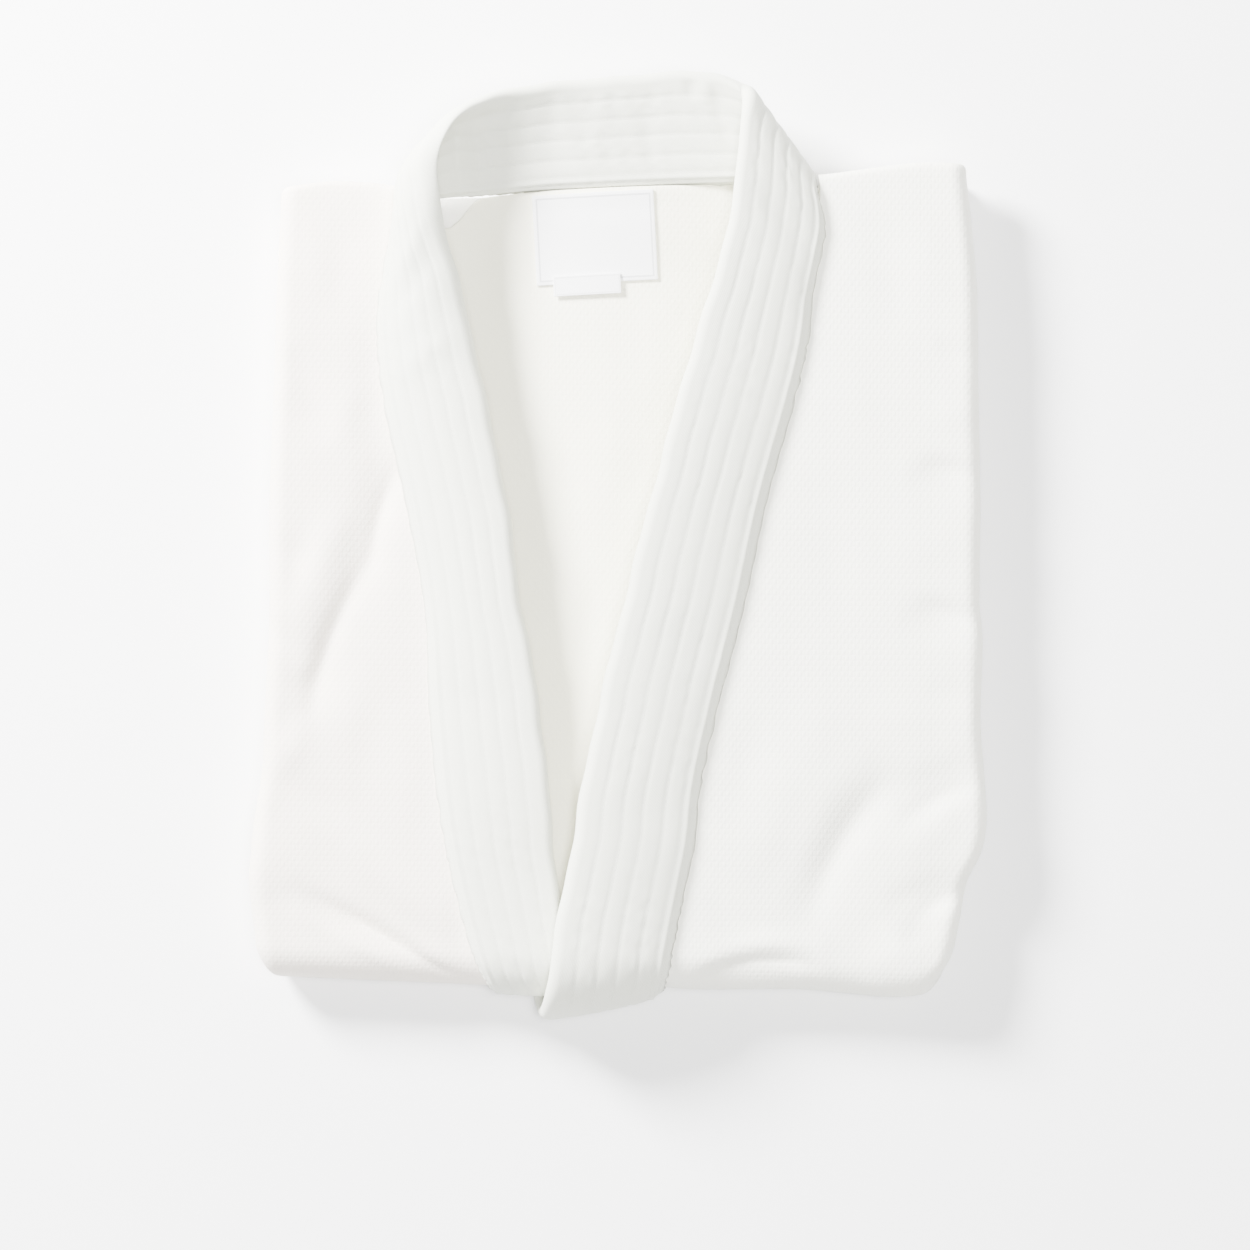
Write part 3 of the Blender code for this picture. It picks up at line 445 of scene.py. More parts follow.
def between(four, u):
    """A point between the middle two of four, on the smooth curve through them."""
    a, b, c, d = four
    square = 2 * a - 5 * b + 4 * c - d
    cube = 3 * b - a - 3 * c + d
    return 0.5 * (2 * b + (c - a) * u + square * u**2 + cube * u**3)


# The folded stack

def swell(x):
    return SWELL * bell(x, SWELL_WIDTH)


def half_upper(x):
    return HALF_UPPER + swell(x)


def half_lower(x):
    return HALF_LOWER + swell(x)


def middle_height(x):
    """Height of the groove between the upper and lower slabs."""
    return WALL / 2 + 2 * half_lower(x) + HALF_GROOVE


def half_at(x, angle):
    return mix(half_upper(x), half_lower(x), smooth(angle / math.pi))


def bend_line(x):
    """Where the top starts to turn down into the bend."""
    fold = along(HEM_FOLD, "x", "y", x) + WALL / 2
    return fold + HALF_GROOVE + 2 * half_at(x, math.pi / 2)


def bend_angle(x, t):
    return min(max((bend_line(x) - t) / BEND_RATE, 0.0), math.pi)


def fold_height(folds, x, y):
    """What a table's folds add at a point: a soft line each, highest in its middle."""
    total = 0.0
    for fold in folds:
        long_x, long_y = fold.x1 - fold.x0, fold.y1 - fold.y0
        length = math.hypot(long_x, long_y)
        run = ((x - fold.x0) * long_x + (y - fold.y0) * long_y) / length
        if not 0 < run < length:
            continue
        rise = math.sin(math.pi * run / length)
        off = ((x - fold.x0) * long_y - (y - fold.y0) * long_x) / length - fold.bow * rise
        if abs(off) < 3 * fold.half:
            total += fold.height * rise * bell(off, fold.half)
    return total


def folds_at(x, t):
    """Height that the fronts' folds add at a point; none on the underside."""
    shown = 1.0 - smooth((bend_angle(x, t) - 0.9) / 0.9)
    if shown == 0.0:
        return 0.0
    return (fold_height(FRONT_FOLDS, x, t) + fold_height(SMALL_FOLDS, x, t)) * shown


def cover(x, t, lift, folds=0.0):
    """The point at a lift off the outer wall, laid round the bend."""
    bend, centre = bend_line(x), middle_height(x)
    if folds:
        lift += folds * folds_at(x, t)
    angle = bend_angle(x, t)
    radius = HALF_GROOVE + 2 * half_at(x, angle) + lift
    if t >= bend:
        return Vector((x, t, centre + radius))
    beyond = max(0.0, bend - math.pi * BEND_RATE - t)
    return Vector((x, bend - radius * math.sin(angle) + beyond, centre + radius * math.cos(angle)))


def side_x(t, side, x):
    """The garment's side edge at a place along the cloth, read near a given x."""
    angle = bend_angle(x, t)
    place = cover(x, t, 0.0)
    name = "left" if side < 0 else "right"
    over, under = (along(rows, "y", name, place.y) for rows in (SIDES, UNDER_SIDES))
    return mix(over, under, smooth(angle / math.pi))


def side_centre(side, place_of):
    """Where one side's turn is centred, for a row whose place along the cloth is place_of(x)."""
    x = side * NEAR_SIDE
    for _ in range(5):
        t = place_of(x)
        x = side_x(t, side, x) - side * half_at(x, bend_angle(x, t))
    return x


# The band

EDGE_SHARES = (0.0, 0.01, 0.02, 0.03, 0.04, 0.05, 0.06)
EDGE_ROUND = 0.07
EDGE_TURNS = (15, 30, 45, 60, 75)


def band_shares():
    """Shares of the width at which a band section has points, from the seam to the free edge."""
    steps = 44
    flat = [mix(0.075, 1 - EDGE_ROUND, i / steps) for i in range(steps + 1)]
    turned = [1 - EDGE_ROUND + EDGE_ROUND * math.sin(math.radians(a)) for a in EDGE_TURNS]
    return list(EDGE_SHARES) + flat + turned


def row_distance(share):
    """Distance from a share of the width to the nearest row of stitching."""
    return min(abs(share - row) for row in BAND_ROWS)


def band_half(share, run):
    """Half thickness of the band at a share of its width, with grooves, puffed ribs and puckers."""
    if share > 1 - EDGE_ROUND:
        return BAND_HALF * math.sqrt(max(0.0, 1 - ((share - 1 + EDGE_ROUND) / EDGE_ROUND) ** 2))
    half = mix(BAND_SEAM_HALF, BAND_HALF, smooth(share / SEAM_TAPER))
    half -= EDGE_ROW_GROOVE * bell(share - EDGE_ROW, EDGE_ROW_WIDTH) * (1 + waves(EDGE_ROW_WAVES, run))
    near = row_distance(share)
    half += ROW_PUFF * smooth((near - PUFF_FROM) / PUFF_RISE)
    half -= ROW_GROOVE * bell(near, ROW_WIDTH) * (1 + waves(GROOVE_WAVES, run, share))
    uneven = PUCKER_LEAST + waves(PUCKER_DRIFT, run, share)
    ripple = waves(PUCKER_WAVES, run, share)
    return half + PUCKER * uneven * ripple * bell(near - PUCKER_OFF, PUCKER_OFF)


def band_stations():
    """Seam point, free point, bulge, press and run of each station, smoothly through the table."""
    ends = [
        (Vector((r.seam_x, r.seam_t, r.seam_lift)), Vector((r.free_x, r.free_t, r.free_lift)))
        for r in BAND
    ]
    stations = []
    for i, row in enumerate(BAND[:-1]):
        rows = [ends[max(i - 1, 0)], ends[i], ends[i + 1], ends[min(i + 2, len(BAND) - 1)]]
        after = BAND[i + 1]
        steps = row.steps * BAND_FINE
        for step in range(steps):
            u = step / steps
            seam, free = (between([r[edge] for r in rows], u) for edge in (0, 1))
            stations.append([seam, free, mix(row.bulge, after.bulge, u), mix(row.press, after.press, u)])
    stations.append([*ends[-1], BAND[-1].bulge, BAND[-1].press])
    run = 0.0
    for before, here in zip([stations[0]] + stations, stations):
        run += (here[0] + here[1] - before[0] - before[1]).length / 2
        here.append(run)
    return stations


def band_ring(before, here, after):
    """One section of the band, round its outer face to the free edge and back, with its flat place."""
    seam, free, bulge, press, run = here
    across = free - seam
    chord = across.length + waves(WIDTH_WAVES, run, 1.0)
    across.normalize()
    free = seam + across * chord
    travel = (after[0] + after[1] - before[0] - before[1]).normalized()
    outward = across.cross(travel).normalized()
    scallop = 1 + waves(SCALLOPS, run)
    lip = seam + across * chord * LIP_SHARE * scallop + outward * LIP_HALF * press * scallop
    throat = seam + outward * THROAT_HALF * press
    outer = [(throat, (run, 0.0)), (lip, (run, LIP_SHARE * BAND_WIDTH))]
    inner = []
    for share in band_shares():
        rise = bulge * 4 * share * (1 - share)
        middle = seam + across * chord * share + outward * rise
        half = band_half(share, run) * press
        flat = (run, share * BAND_WIDTH)
        for face, ring in ((1, outer), (-1, inner)):
            buckles = [b for b in BUCKLES if b.side == face]
            push = fold_height(buckles, middle.x, middle.y)
            push *= smooth((1 - share) / BUCKLE_MARGIN) * smooth(share / BUCKLE_MARGIN)
            ring.append((middle + outward * (half * face + push * face), flat))
    return outer + [(free.copy(), (run, BAND_WIDTH))] + inner[::-1]


def band_rings():
    stations = band_stations()
    rings = []
    for i, here in enumerate(stations):
        before, after = stations[max(i - 1, 0)], stations[min(i + 1, len(stations) - 1)]
        rings.append(band_ring(before, here, after))
    return rings


def seam_limits(rings, side):
    """Along one lapel, how far across the band reaches at the panels' height: (t, x) rows."""
    half = len(rings) // 2
    found = {}
    for ring in rings[:half] if side < 0 else rings[half:]:
        places = [place for place, _ in ring]
        for a, b in zip(places, places[1:] + places[:1]):
            for step in range(4):
                place = a.lerp(b, step / 4)
                low = SHOULDER_LOW if place.y > SHOULDER_FROM else -WALL_REACH
                if low < place.z < WALL_TOP and abs(place.x) > LIMIT_LEAST * (place.y > SHOULDER_FROM):
                    found.setdefault(round(place.y / LIMIT_STEP), []).append(place.x)
    pick = min if side < 0 else max
    rows = sorted((at, pick(found[at])) for at in found)
    known = dict(rows)
    wide = [(at, pick([known.get(at + k, x) for k in (-1, 0, 1)])) for at, x in rows]
    return [(at * LIMIT_STEP, x) for at, x in wide]


def read_limits(limits, t):
    if t <= limits[0][0]:
        return limits[0][1]
    for (low, a), (high, b) in zip(limits, limits[1:]):
        if t <= high:
            return mix(a, b, (t - low) / (high - low))
    return limits[-1][1]


# Meshes

LEAST_CUT = 0.01
WELD = 0.00001
FINISH = "_finish"


def sheet_mesh(points):
    """A grid through rows of (place, flat place), its UV map in metres of flat cloth."""
    rows, columns = len(points), len(points[0])
    mesh = bmesh.new()
    bmesh.ops.create_grid(mesh, x_segments=rows - 1, y_segments=columns - 1, size=1.0)
    flat = {}
    for vert in mesh.verts:
        row = round((vert.co.x + 1) / 2 * (rows - 1))
        column = round((vert.co.y + 1) / 2 * (columns - 1))
        place, flat[vert] = points[row][column]
        vert.co = (place - MIDDLE) * MILLIMETRE
    layer = mesh.loops.layers.uv.verify()
    for face in mesh.faces:
        face.smooth = True
        for corner in face.loops:
            u, v = flat[corner.vert]
            corner[layer].uv = (u * MILLIMETRE, v * MILLIMETRE)
    return mesh


def finish_piece(name, mesh, material, nodes, wall=0.0):
    """Make the object, give it its wall, hang it on the root body and hide the parts that it stands for.
    """
    bmesh.ops.recalc_face_normals(mesh, faces=mesh.faces)
    data = bpy.data.meshes.new(name)
    mesh.to_mesh(data)
    mesh.free()
    piece = bpy.data.objects.new(name, data)
    bpy.context.scene.collection.objects.link(piece)
    data.materials.append(material)
    if wall:
        thicken = piece.modifiers.new("wall", "SOLIDIFY")
        thicken.thickness = wall * MILLIMETRE
        thicken.offset = 0.0
        thicken.use_even_offset = True
        soften = piece.modifiers.new("soft_edge", "BEVEL")
        soften.width = wall * 0.3 * MILLIMETRE
        soften.segments = 2
        soften.limit_method = "ANGLE"
        soften.angle_limit = math.radians(50)
    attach(piece, "root")
    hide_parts(*nodes)
    return piece


def flat_size(mesh):
    """Area of a mesh's cloth in square metres, and the size across and along of its flat cut."""
    layer = mesh.loops.layers.uv.verify()
    places = [corner[layer].uv for face in mesh.faces for corner in face.loops]
    wide = max(p.x for p in places) - min(p.x for p in places)
    long = max(p.y for p in places) - min(p.y for p in places)
    return sum(face.calc_area() for face in mesh.faces), wide, long


def lay_sheet(name, points, material, nodes, wall):
    """A piece of cloth through a grid of points; the size of its flat cut is worked out but not used."""
    mesh = sheet_mesh(points)
    area, wide, long = flat_size(mesh)
    wide, long = max(wide, LEAST_CUT), max(long, LEAST_CUT)
    piece = finish_piece(name, mesh, material, nodes, wall)


# Fronts

FRONT_ROWS = 110
FRONT_COLUMNS = 44
BEND_ROWS = 26
SHOULDER_STEPS = 7
SIDE_STEPS = 14


def front_rows():
    """Rows of a front from inside the shoulder to just past the bend: (kind, share)."""
    rows = [("flap", 1.0), ("flap", 0.5)]
    rows += [("turn", 1 - i / SHOULDER_STEPS) for i in range(SHOULDER_STEPS + 1)]
    rows += [("top", (i + 1) / FRONT_ROWS) for i in range(FRONT_ROWS)]
    rows += [("bend", (i + 1) / BEND_ROWS) for i in range(BEND_ROWS)]
    return rows + [("past", 1.0)]


def row_place(kind, share, x):
    """Place along the cloth, depth, and place in the flat cloth of a front's row at a given x."""
    top = along(SHOULDERS, "x", "y", x) - SHOULDER_RADIUS
    bend = bend_line(x)
    if kind == "flap":
        run = SHOULDER_FLAP * share
        return top - run, 2 * SHOULDER_RADIUS, top + SHOULDER_TURN + run
    if kind == "turn":
        angle = math.pi * share
        place = top + SHOULDER_RADIUS * math.sin(angle)
        return place, SHOULDER_RADIUS * (1 - math.cos(angle)), top + SHOULDER_TURN * share
    if kind == "top":
        t = mix(top, bend, share)
    elif kind == "bend":
        t = bend - math.pi * BEND_RATE * share
    else:
        t = bend - math.pi * BEND_RATE - PAST_BEND
    return t, 0.0, t


def front_point(side, kind, share, column, limits):
    """One point of a front's centre sheet, and its flat place."""
    x = side * NEAR_MIDDLE
    flat_share = column / (FRONT_COLUMNS - 1)
    for _ in range(4):
        t, depth, flat_t = row_place(kind, share, x)
        half = half_at(x, bend_angle(x, t))
        centre = side_x(t, side, x) - side * half
        seam = read_limits(limits, t) + side * SEAM_GAP
        if column < FRONT_COLUMNS:
            x = mix(seam, centre, flat_share)
            drop = depth
            across = x
        else:
            turn = math.pi * (column - FRONT_COLUMNS + 1) / SIDE_STEPS
            x = centre + side * (half - depth) * math.sin(turn)
            drop = depth + (half - depth) * (1 - math.cos(turn))
            across = centre + side * half * turn
    return cover(x, t, -drop, folds=1.0), (across, flat_t)


def build_front(name, side, limits, material, node):
    points = [
        [front_point(side, kind, share, j, limits) for j in range(FRONT_COLUMNS + SIDE_STEPS)]
        for kind, share in front_rows()
    ]
    lay_sheet(name, points, material, [node], WALL)


# Back panel seen in the neck opening

def opening_depth(y):
    """How deep the back lies below the outer wall in the middle of the opening."""
    deeper = smooth((y + 170) / 130)
    return mix(DEPTH_LOW, DEPTH_HIGH, deeper) - NECK_RISE * smooth((y - 120) / 40)


def sag_at(x, y, seams):
    """How far the back sinks below the layer under the fronts."""
    left, right = read_limits(seams[0], y), read_limits(seams[1], y)
    inside = min(x - left, right - x)
    if inside < -SAG_UNDER:
        return 0.0
    if inside < 0:
        return SEAM_SAG * smooth((inside + SAG_UNDER) / SAG_UNDER)
    sag = mix(SEAM_SAG, opening_depth(y), smooth(inside / SAG_WIDTH))
    middle, half = (left + right) / 2, (right - left) / 2
    if half <= CROWN_FROM:
        return sag
    crown = BACK_CROWN * max(0.0, 1 - ((x - middle) / (0.6 * half)) ** 2)
    return sag - crown * smooth((half - CROWN_FROM) / 30)


def back_depth(x, y, seams):
    return WALL + LAYER_GAP + sag_at(x, y, seams)


def back_place(x, y, seams, lift=0.0):
    """A point of the back's centre sheet, or one at a lift above it."""
    left, right = read_limits(seams[0], y) - BACK_OVERLAP, read_limits(seams[1], y) + BACK_OVERLAP
    folds = 1.0 - smooth((min(x - left, right - x) - 8) / 12)
    return cover(x, y, -back_depth(x, y, seams) + fold_height(BACK_FOLDS, x, y) + lift, folds=folds)


BACK_COLUMNS = 72
BACK_ROWS = 130


def neck_line(rings):
    """The neck band's seamed edge as (x, y) rows, where the back ends."""
    rows = []
    for ring in rings:
        seam = min(ring[0][0], ring[-1][0], key=lambda p: p.y)
        if NECK_LEFT < seam.x < NECK_RIGHT and seam.y > NECK_LOW:
            rows.append((seam.x, seam.y))
    return sorted(rows)


def back_point(i, j, seams, neck):
    """One point of the back's centre sheet, and its flat place."""
    y = NEAR_NECK
    for _ in range(3):
        left = read_limits(seams[0], y) - BACK_OVERLAP
        right = read_limits(seams[1], y) + BACK_OVERLAP
        x = mix(left, right, j / (BACK_COLUMNS - 1))
        inside = smooth(min(x + 76, 86 - x) / 16)
        top = mix(BACK_FLAT_TOP, read_limits(neck, x) - SEAM_GAP, inside)
        y = mix(top, BACK_BOTTOM, i / (BACK_ROWS - 1))
    return back_place(x, y, seams), (x, y)


def build_back(seams, rings, material):
    neck = neck_line(rings)
    points = [
        [back_point(i, j, seams, neck) for j in range(BACK_COLUMNS)] for i in range(BACK_ROWS)
    ]
    lay_sheet("back_inside", points, material, ["back_panel"], WALL)


PATCH_ROWS = 24
PATCH_COLUMNS = 34


def build_patch(patch, seams, material):
    """A small flat piece that lies on the back, made from the back's points moved up."""
    c, s = math.cos(math.radians(patch.turn)), math.sin(math.radians(patch.turn))
    points = []
    for i in range(PATCH_ROWS):
        v = (0.5 - i / (PATCH_ROWS - 1)) * patch.high
        row = []
        for j in range(PATCH_COLUMNS):
            u = (j / (PATCH_COLUMNS - 1) - 0.5) * patch.wide
            place = back_place(patch.x + u * c - v * s, patch.y + u * s + v * c, seams)
            row.append((place + Vector((0, 0, patch.lift)), (u, v)))
        points.append(row)
    lay_sheet(patch.name, points, material, [patch.node], patch.wall)


# Hidden layers

CORE_COLUMNS = 60
CORE_TURNS = 8
CORE_ROWS = 60
CORE_BEND_ROWS = 12
LAYERS = 4


def core_top_depth(x, y, seams):
    """Depth of the hidden layers below the outer wall on top."""
    left, right = read_limits(seams[0], y), read_limits(seams[1], y)
    inside = smooth((min(x - left, right - x) + 28) / 9)
    shoulder = along(SHOULDERS, "x", "y", x)
    plain = CORE_INSET + CORE_SHOULDER * smooth((y - shoulder + 26) / 8)
    return mix(plain, back_depth(x, y, seams) + WALL / 2 + CORE_GAP, inside)


def core_under_depth(x, beyond):
    """Depth of the hidden layers above the table side: more where the lapels come round."""
    near = 1.0 - smooth((beyond - 3.0) / 4.0)
    deeper = [
        row.depth * smooth((x - row.left) / LAPEL_EDGE) * (1 - smooth((x - row.right) / LAPEL_EDGE))
        for row in LAPELS_UNDER
    ]
    return CORE_UNDER + near * max(deeper)


def core_along(share, angle, upper, x):
    """Place along the cloth of one row: a share of the way to the shoulders, or an angle of the bend."""
    bend = bend_line(x)
    if share is None:
        return bend - BEND_RATE * (angle if upper else math.pi - angle)
    run = (along(SHOULDERS, "x", "y", x) - CORE_END - bend) * share
    return bend + run if upper else bend - BEND_RATE * math.pi - run


def core_half_ring(share, angle, upper, seams):
    """The upper or lower half of a section, from the left groove over the middle to the right one."""
    def place_of(x):
        return core_along(share, angle, upper, x)

    def opposite(x):
        return core_along(share, angle, not upper, x)

    centres = {side: side_centre(side, place_of) for side in (-1, 1)}
    others = {side: side_centre(side, opposite) for side in (-1, 1)}
    near = smooth((share or 0.0) * 4 - 3) * CORE_SHOULDER if upper else 0.0
    ring = []
    for side in (-1, 1):
        turned = []
        centre = centres[side]
        bent = bend_angle(centre, place_of(centre))
        half = half_at(centre, bent)
        edge = mix(CORE_INSET, CORE_UNDER, smooth(bent / math.pi)) + near
        for k in range(1, CORE_TURNS + 1):
            turn = math.pi * k / CORE_TURNS
            x = centre + side * (half - edge) * math.sin(turn)
            over = edge + (half - edge) * (1 - math.cos(turn))
            if k == CORE_TURNS:
                x = side * (min(abs(centre), abs(others[side])) - CORE_GROOVE)
                over = 2 * half
            turned.append(core_cover(x, place_of(x), over))
        if side > 0:
            ring += turned
            continue
        ring += turned[::-1]
        for j in range(CORE_COLUMNS + 1):
            ring.append(core_flat(mix(centres[-1], centres[1], j / CORE_COLUMNS), place_of, seams))
    return ring


def core_cover(x, t, over):
    angle = bend_angle(x, t)
    if angle > 0:
        over = min(over, HALF_GROOVE + 2 * half_at(x, angle) - CORE_BEND_GAP)
    return cover(x, t, -over)


def core_flat(x, place_of, seams):
    t = place_of(x)
    top = core_top_depth(x, max(t, bend_line(x)), seams)
    beyond = max(0.0, bend_line(x) - math.pi * BEND_RATE - t)
    under = core_under_depth(x, beyond)
    return core_cover(x, t, mix(top, under, smooth((bend_angle(x, t) - 0.8) / 1.2)))


def core_ring(share, angle, seams):
    """One whole section: over the top from left to right, then back underneath."""
    over = core_half_ring(share, angle, True, seams)
    under = core_half_ring(share, angle, False, seams)
    return over + under[::-1] + over[:1]


def pressed_in(ring, share, push):
    """A section drawn towards its own middle plane, moved along the cloth: one more layer's edge."""
    half = (len(ring) - 1) // 2
    drawn = []
    for k, place in enumerate(ring[:-1]):
        other = ring[2 * half - 1 - k]
        wave = 0.7 + 0.3 * math.sin(0.16 * place.x + 2.1 * share)
        drawn.append(place.lerp((place + other) / 2, share) + Vector((0, push * wave, 0)))
    return drawn + drawn[:1]


def build_core(seams, material):
    angles = [math.pi / 2 * (1 - i / CORE_BEND_ROWS) * 0.9 for i in range(CORE_BEND_ROWS)]
    rings = [core_ring(None, angle, seams) for angle in angles]
    rings += [core_ring(i / CORE_ROWS, 0.0, seams) for i in range(CORE_ROWS + 1)]
    start, end = rings[0], rings[-1]
    rings.insert(0, pressed_in(start, 1.0, 0.0))
    for layer in range(LAYERS):
        for press in LAYER_EDGE:
            rings.append(pressed_in(end, (layer + press.share) / LAYERS, press.push))
    points = []
    run = 0.0
    for i, ring in enumerate(rings):
        run += (ring[20] - rings[max(i - 1, 0)][20]).length
        across, row = 0.0, []
        for k, place in enumerate(ring):
            across += (place - ring[max(k - 1, 0)]).length
            row.append((place, (across, run)))
        points.append(row)
    mesh = sheet_mesh(points)
    bmesh.ops.remove_doubles(mesh, verts=mesh.verts, dist=WELD)
    piece = finish_piece("inner_layers", mesh, material, ["folded_layers"])


# Half of the jacket folded under

SKIRT_ROWS = 90
SKIRT_COLUMNS = 60
SKIRT_FADE = 6
SKIRT_END = 4.0


def skirt_along(share, x):
    """Place along the cloth of one row of the skirt, from the bend to its hem."""
    bend = bend_line(x)
    start = bend + PAST_BEND + SEAM_GAP
    end = along(SHOULDERS, "x", "y", x) - SKIRT_END
    return bend - math.pi * BEND_RATE - (mix(start, end, share) - bend)


def skirt_row(share):
    def place_of(x):
        return skirt_along(share, x)

    def flat(x, across):
        return (across, place_of(x))

    left, right = side_centre(-1, place_of), side_centre(1, place_of)
    row = []
    for side, centre in ((-1, left), (1, right)):
        turned = []
        half = half_lower(centre)
        for k in range(1, SIDE_STEPS + 1):
            turn = math.pi * k / SIDE_STEPS
            x = centre + side * half * math.sin(turn)
            place = cover(x, place_of(x), -half * (1 - math.cos(turn)))
            turned.append((place, flat(x, centre + side * half * turn)))
        if side > 0:
            row += turned
            continue
        row += turned[::-1]
        for j in range(SKIRT_COLUMNS + 1):
            x = mix(left, right, j / SKIRT_COLUMNS)
            place = cover(x, place_of(x), 0.0)
            near = smooth(j / SKIRT_FADE) * smooth((SKIRT_COLUMNS - j) / SKIRT_FADE) * smooth(share * 12)
            place.z -= fold_height(UNDER_FOLDS, x, place.y) * near * smooth((1 - share) * 16)
            row.append((place, flat(x, x)))
    return row


def build_skirt(material):
    points = [skirt_row(i / SKIRT_ROWS) for i in range(SKIRT_ROWS + 1)]
    lay_sheet("skirt_under", points, material, ["skirt_lower_half"], WALL)


# The neck band and lapels as one closed piece

def build_band(rings, material):
    points = []
    for ring in rings:
        row = [(cover(place.x, place.y, place.z), flat) for place, flat in ring]
        points.append(row + [(row[0][0], row[-1][1])])
    for place, _ in (p for row in points for p in row):
        place.z = max(place.z, 0.0)
    mesh = sheet_mesh(points)
    bmesh.ops.remove_doubles(mesh, verts=mesh.verts, dist=WELD)
    ends = [edge for edge in mesh.edges if edge.is_boundary]
    bmesh.ops.holes_fill(mesh, edges=ends, sides=0)
    piece = finish_piece("quilted_band", mesh, material, ["collar_band"])


# Materials, their sizes in metres: grains of the weave, thread, yoke seams, drift and lint

GRAIN_WIDE = 0.0016
GRAIN_LONG = 0.0024
STITCH_LENGTH = 0.0034
STITCH_WIDE = 0.0007
STITCH_SHOWN = 0.38
RIGHT_YOKE = (0.107, 0.1115)
LEFT_YOKE = (0.134, 0.1385)
DRIFT_SCALE = 14.0
LINT_SCALE = 900.0
LINT_HEIGHT = 0.00006


def math_node(tree, operation, *values):
    """A math node; each value is a number or another node's output."""
    node = tree.nodes.new("ShaderNodeMath")
    node.operation = operation
    for socket, value in zip(node.inputs, values):
        if isinstance(value, (int, float)):
            socket.default_value = value
        else:
            tree.links.new(value, socket)
    return node.outputs[0]


def new_group(name, *outputs):
    tree = bpy.data.node_groups.new(name, "ShaderNodeTree")
    for output in outputs:
        tree.interface.new_socket(output, in_out="OUTPUT", socket_type="NodeSocketFloat")
    return tree, tree.nodes.new("NodeGroupOutput")


def flat_place(tree):
    """Across and along in the flat cloth, in metres."""
    split = tree.nodes.new("ShaderNodeSeparateXYZ")
    tree.links.new(tree.nodes.new("ShaderNodeUVMap").outputs[0], split.inputs[0])
    return split.outputs[0], split.outputs[1]


def grain_weave(name, wide, long):
    """Staggered raised grains of a woven cloth, wide by long in metres: height from 0 to 1."""
    tree, output = new_group(name, "Height")
    u, v = flat_place(tree)
    across = math_node(tree, "SINE", math_node(tree, "MULTIPLY", u, math.pi / wide))
    down = math_node(tree, "SINE", math_node(tree, "MULTIPLY", v, math.pi / long))
    product = math_node(tree, "MULTIPLY", across, down)
    grain = math_node(tree, "MAXIMUM", product, 0.0)
    other = math_node(tree, "MAXIMUM", math_node(tree, "MULTIPLY", product, -1.0), 0.0)
    raised = math_node(tree, "POWER", grain, 0.7)
    both = math_node(tree, "MULTIPLY_ADD", other, 0.35, raised)
    tree.links.new(both, output.inputs[0])
    return tree


def fine_twill(name, pitch):
    """Slanting ribs of a fine cotton twill: height from 0 to 1."""
    tree, output = new_group(name, "Height")
    u, v = flat_place(tree)
    slant = math_node(tree, "ADD", u, v)
    rib = math_node(tree, "SINE", math_node(tree, "MULTIPLY", slant, 2 * math.pi / pitch))
    tree.links.new(math_node(tree, "MULTIPLY_ADD", rib, 0.5, 0.5), output.inputs[0])
    return tree


def row_stitches(name, rows, down=True):
    """Dashes of thread along rows at given places in the flat cloth: mask from 0 to 1."""
    tree, output = new_group(name, "Mask")
    u, v = flat_place(tree)
    travel, place = (u, v) if down else (v, u)
    total = None
    for row in rows:
        off = math_node(tree, "ABSOLUTE", math_node(tree, "SUBTRACT", place, row))
        near = math_node(tree, "LESS_THAN", off, STITCH_WIDE / 2)
        total = near if total is None else math_node(tree, "MAXIMUM", total, near)
    dash = math_node(tree, "FRACT", math_node(tree, "DIVIDE", travel, STITCH_LENGTH))
    off_middle = math_node(tree, "ABSOLUTE", math_node(tree, "SUBTRACT", dash, 0.5))
    shown = math_node(tree, "LESS_THAN", off_middle, STITCH_SHOWN)
    tree.links.new(math_node(tree, "MULTIPLY", total, shown), output.inputs[0])
    return tree


def woven_frame(name, half_wide, half_high, inset, line):
    """A thin line all round a label, a little inside its edges: mask from 0 to 1."""
    tree, output = new_group(name, "Mask")
    u, v = flat_place(tree)
    out_u = math_node(tree, "SUBTRACT", math_node(tree, "ABSOLUTE", u), half_wide - inset)
    out_v = math_node(tree, "SUBTRACT", math_node(tree, "ABSOLUTE", v), half_high - inset)
    out = math_node(tree, "MAXIMUM", out_u, out_v)
    inner = math_node(tree, "GREATER_THAN", out, 0.0)
    outer = math_node(tree, "LESS_THAN", out, line)
    tree.links.new(math_node(tree, "MULTIPLY", inner, outer), output.inputs[0])
    return tree


def put_group(material, group):
    node = material.node_tree.nodes.new("ShaderNodeGroup")
    node.node_tree = group
    return node.outputs[0]


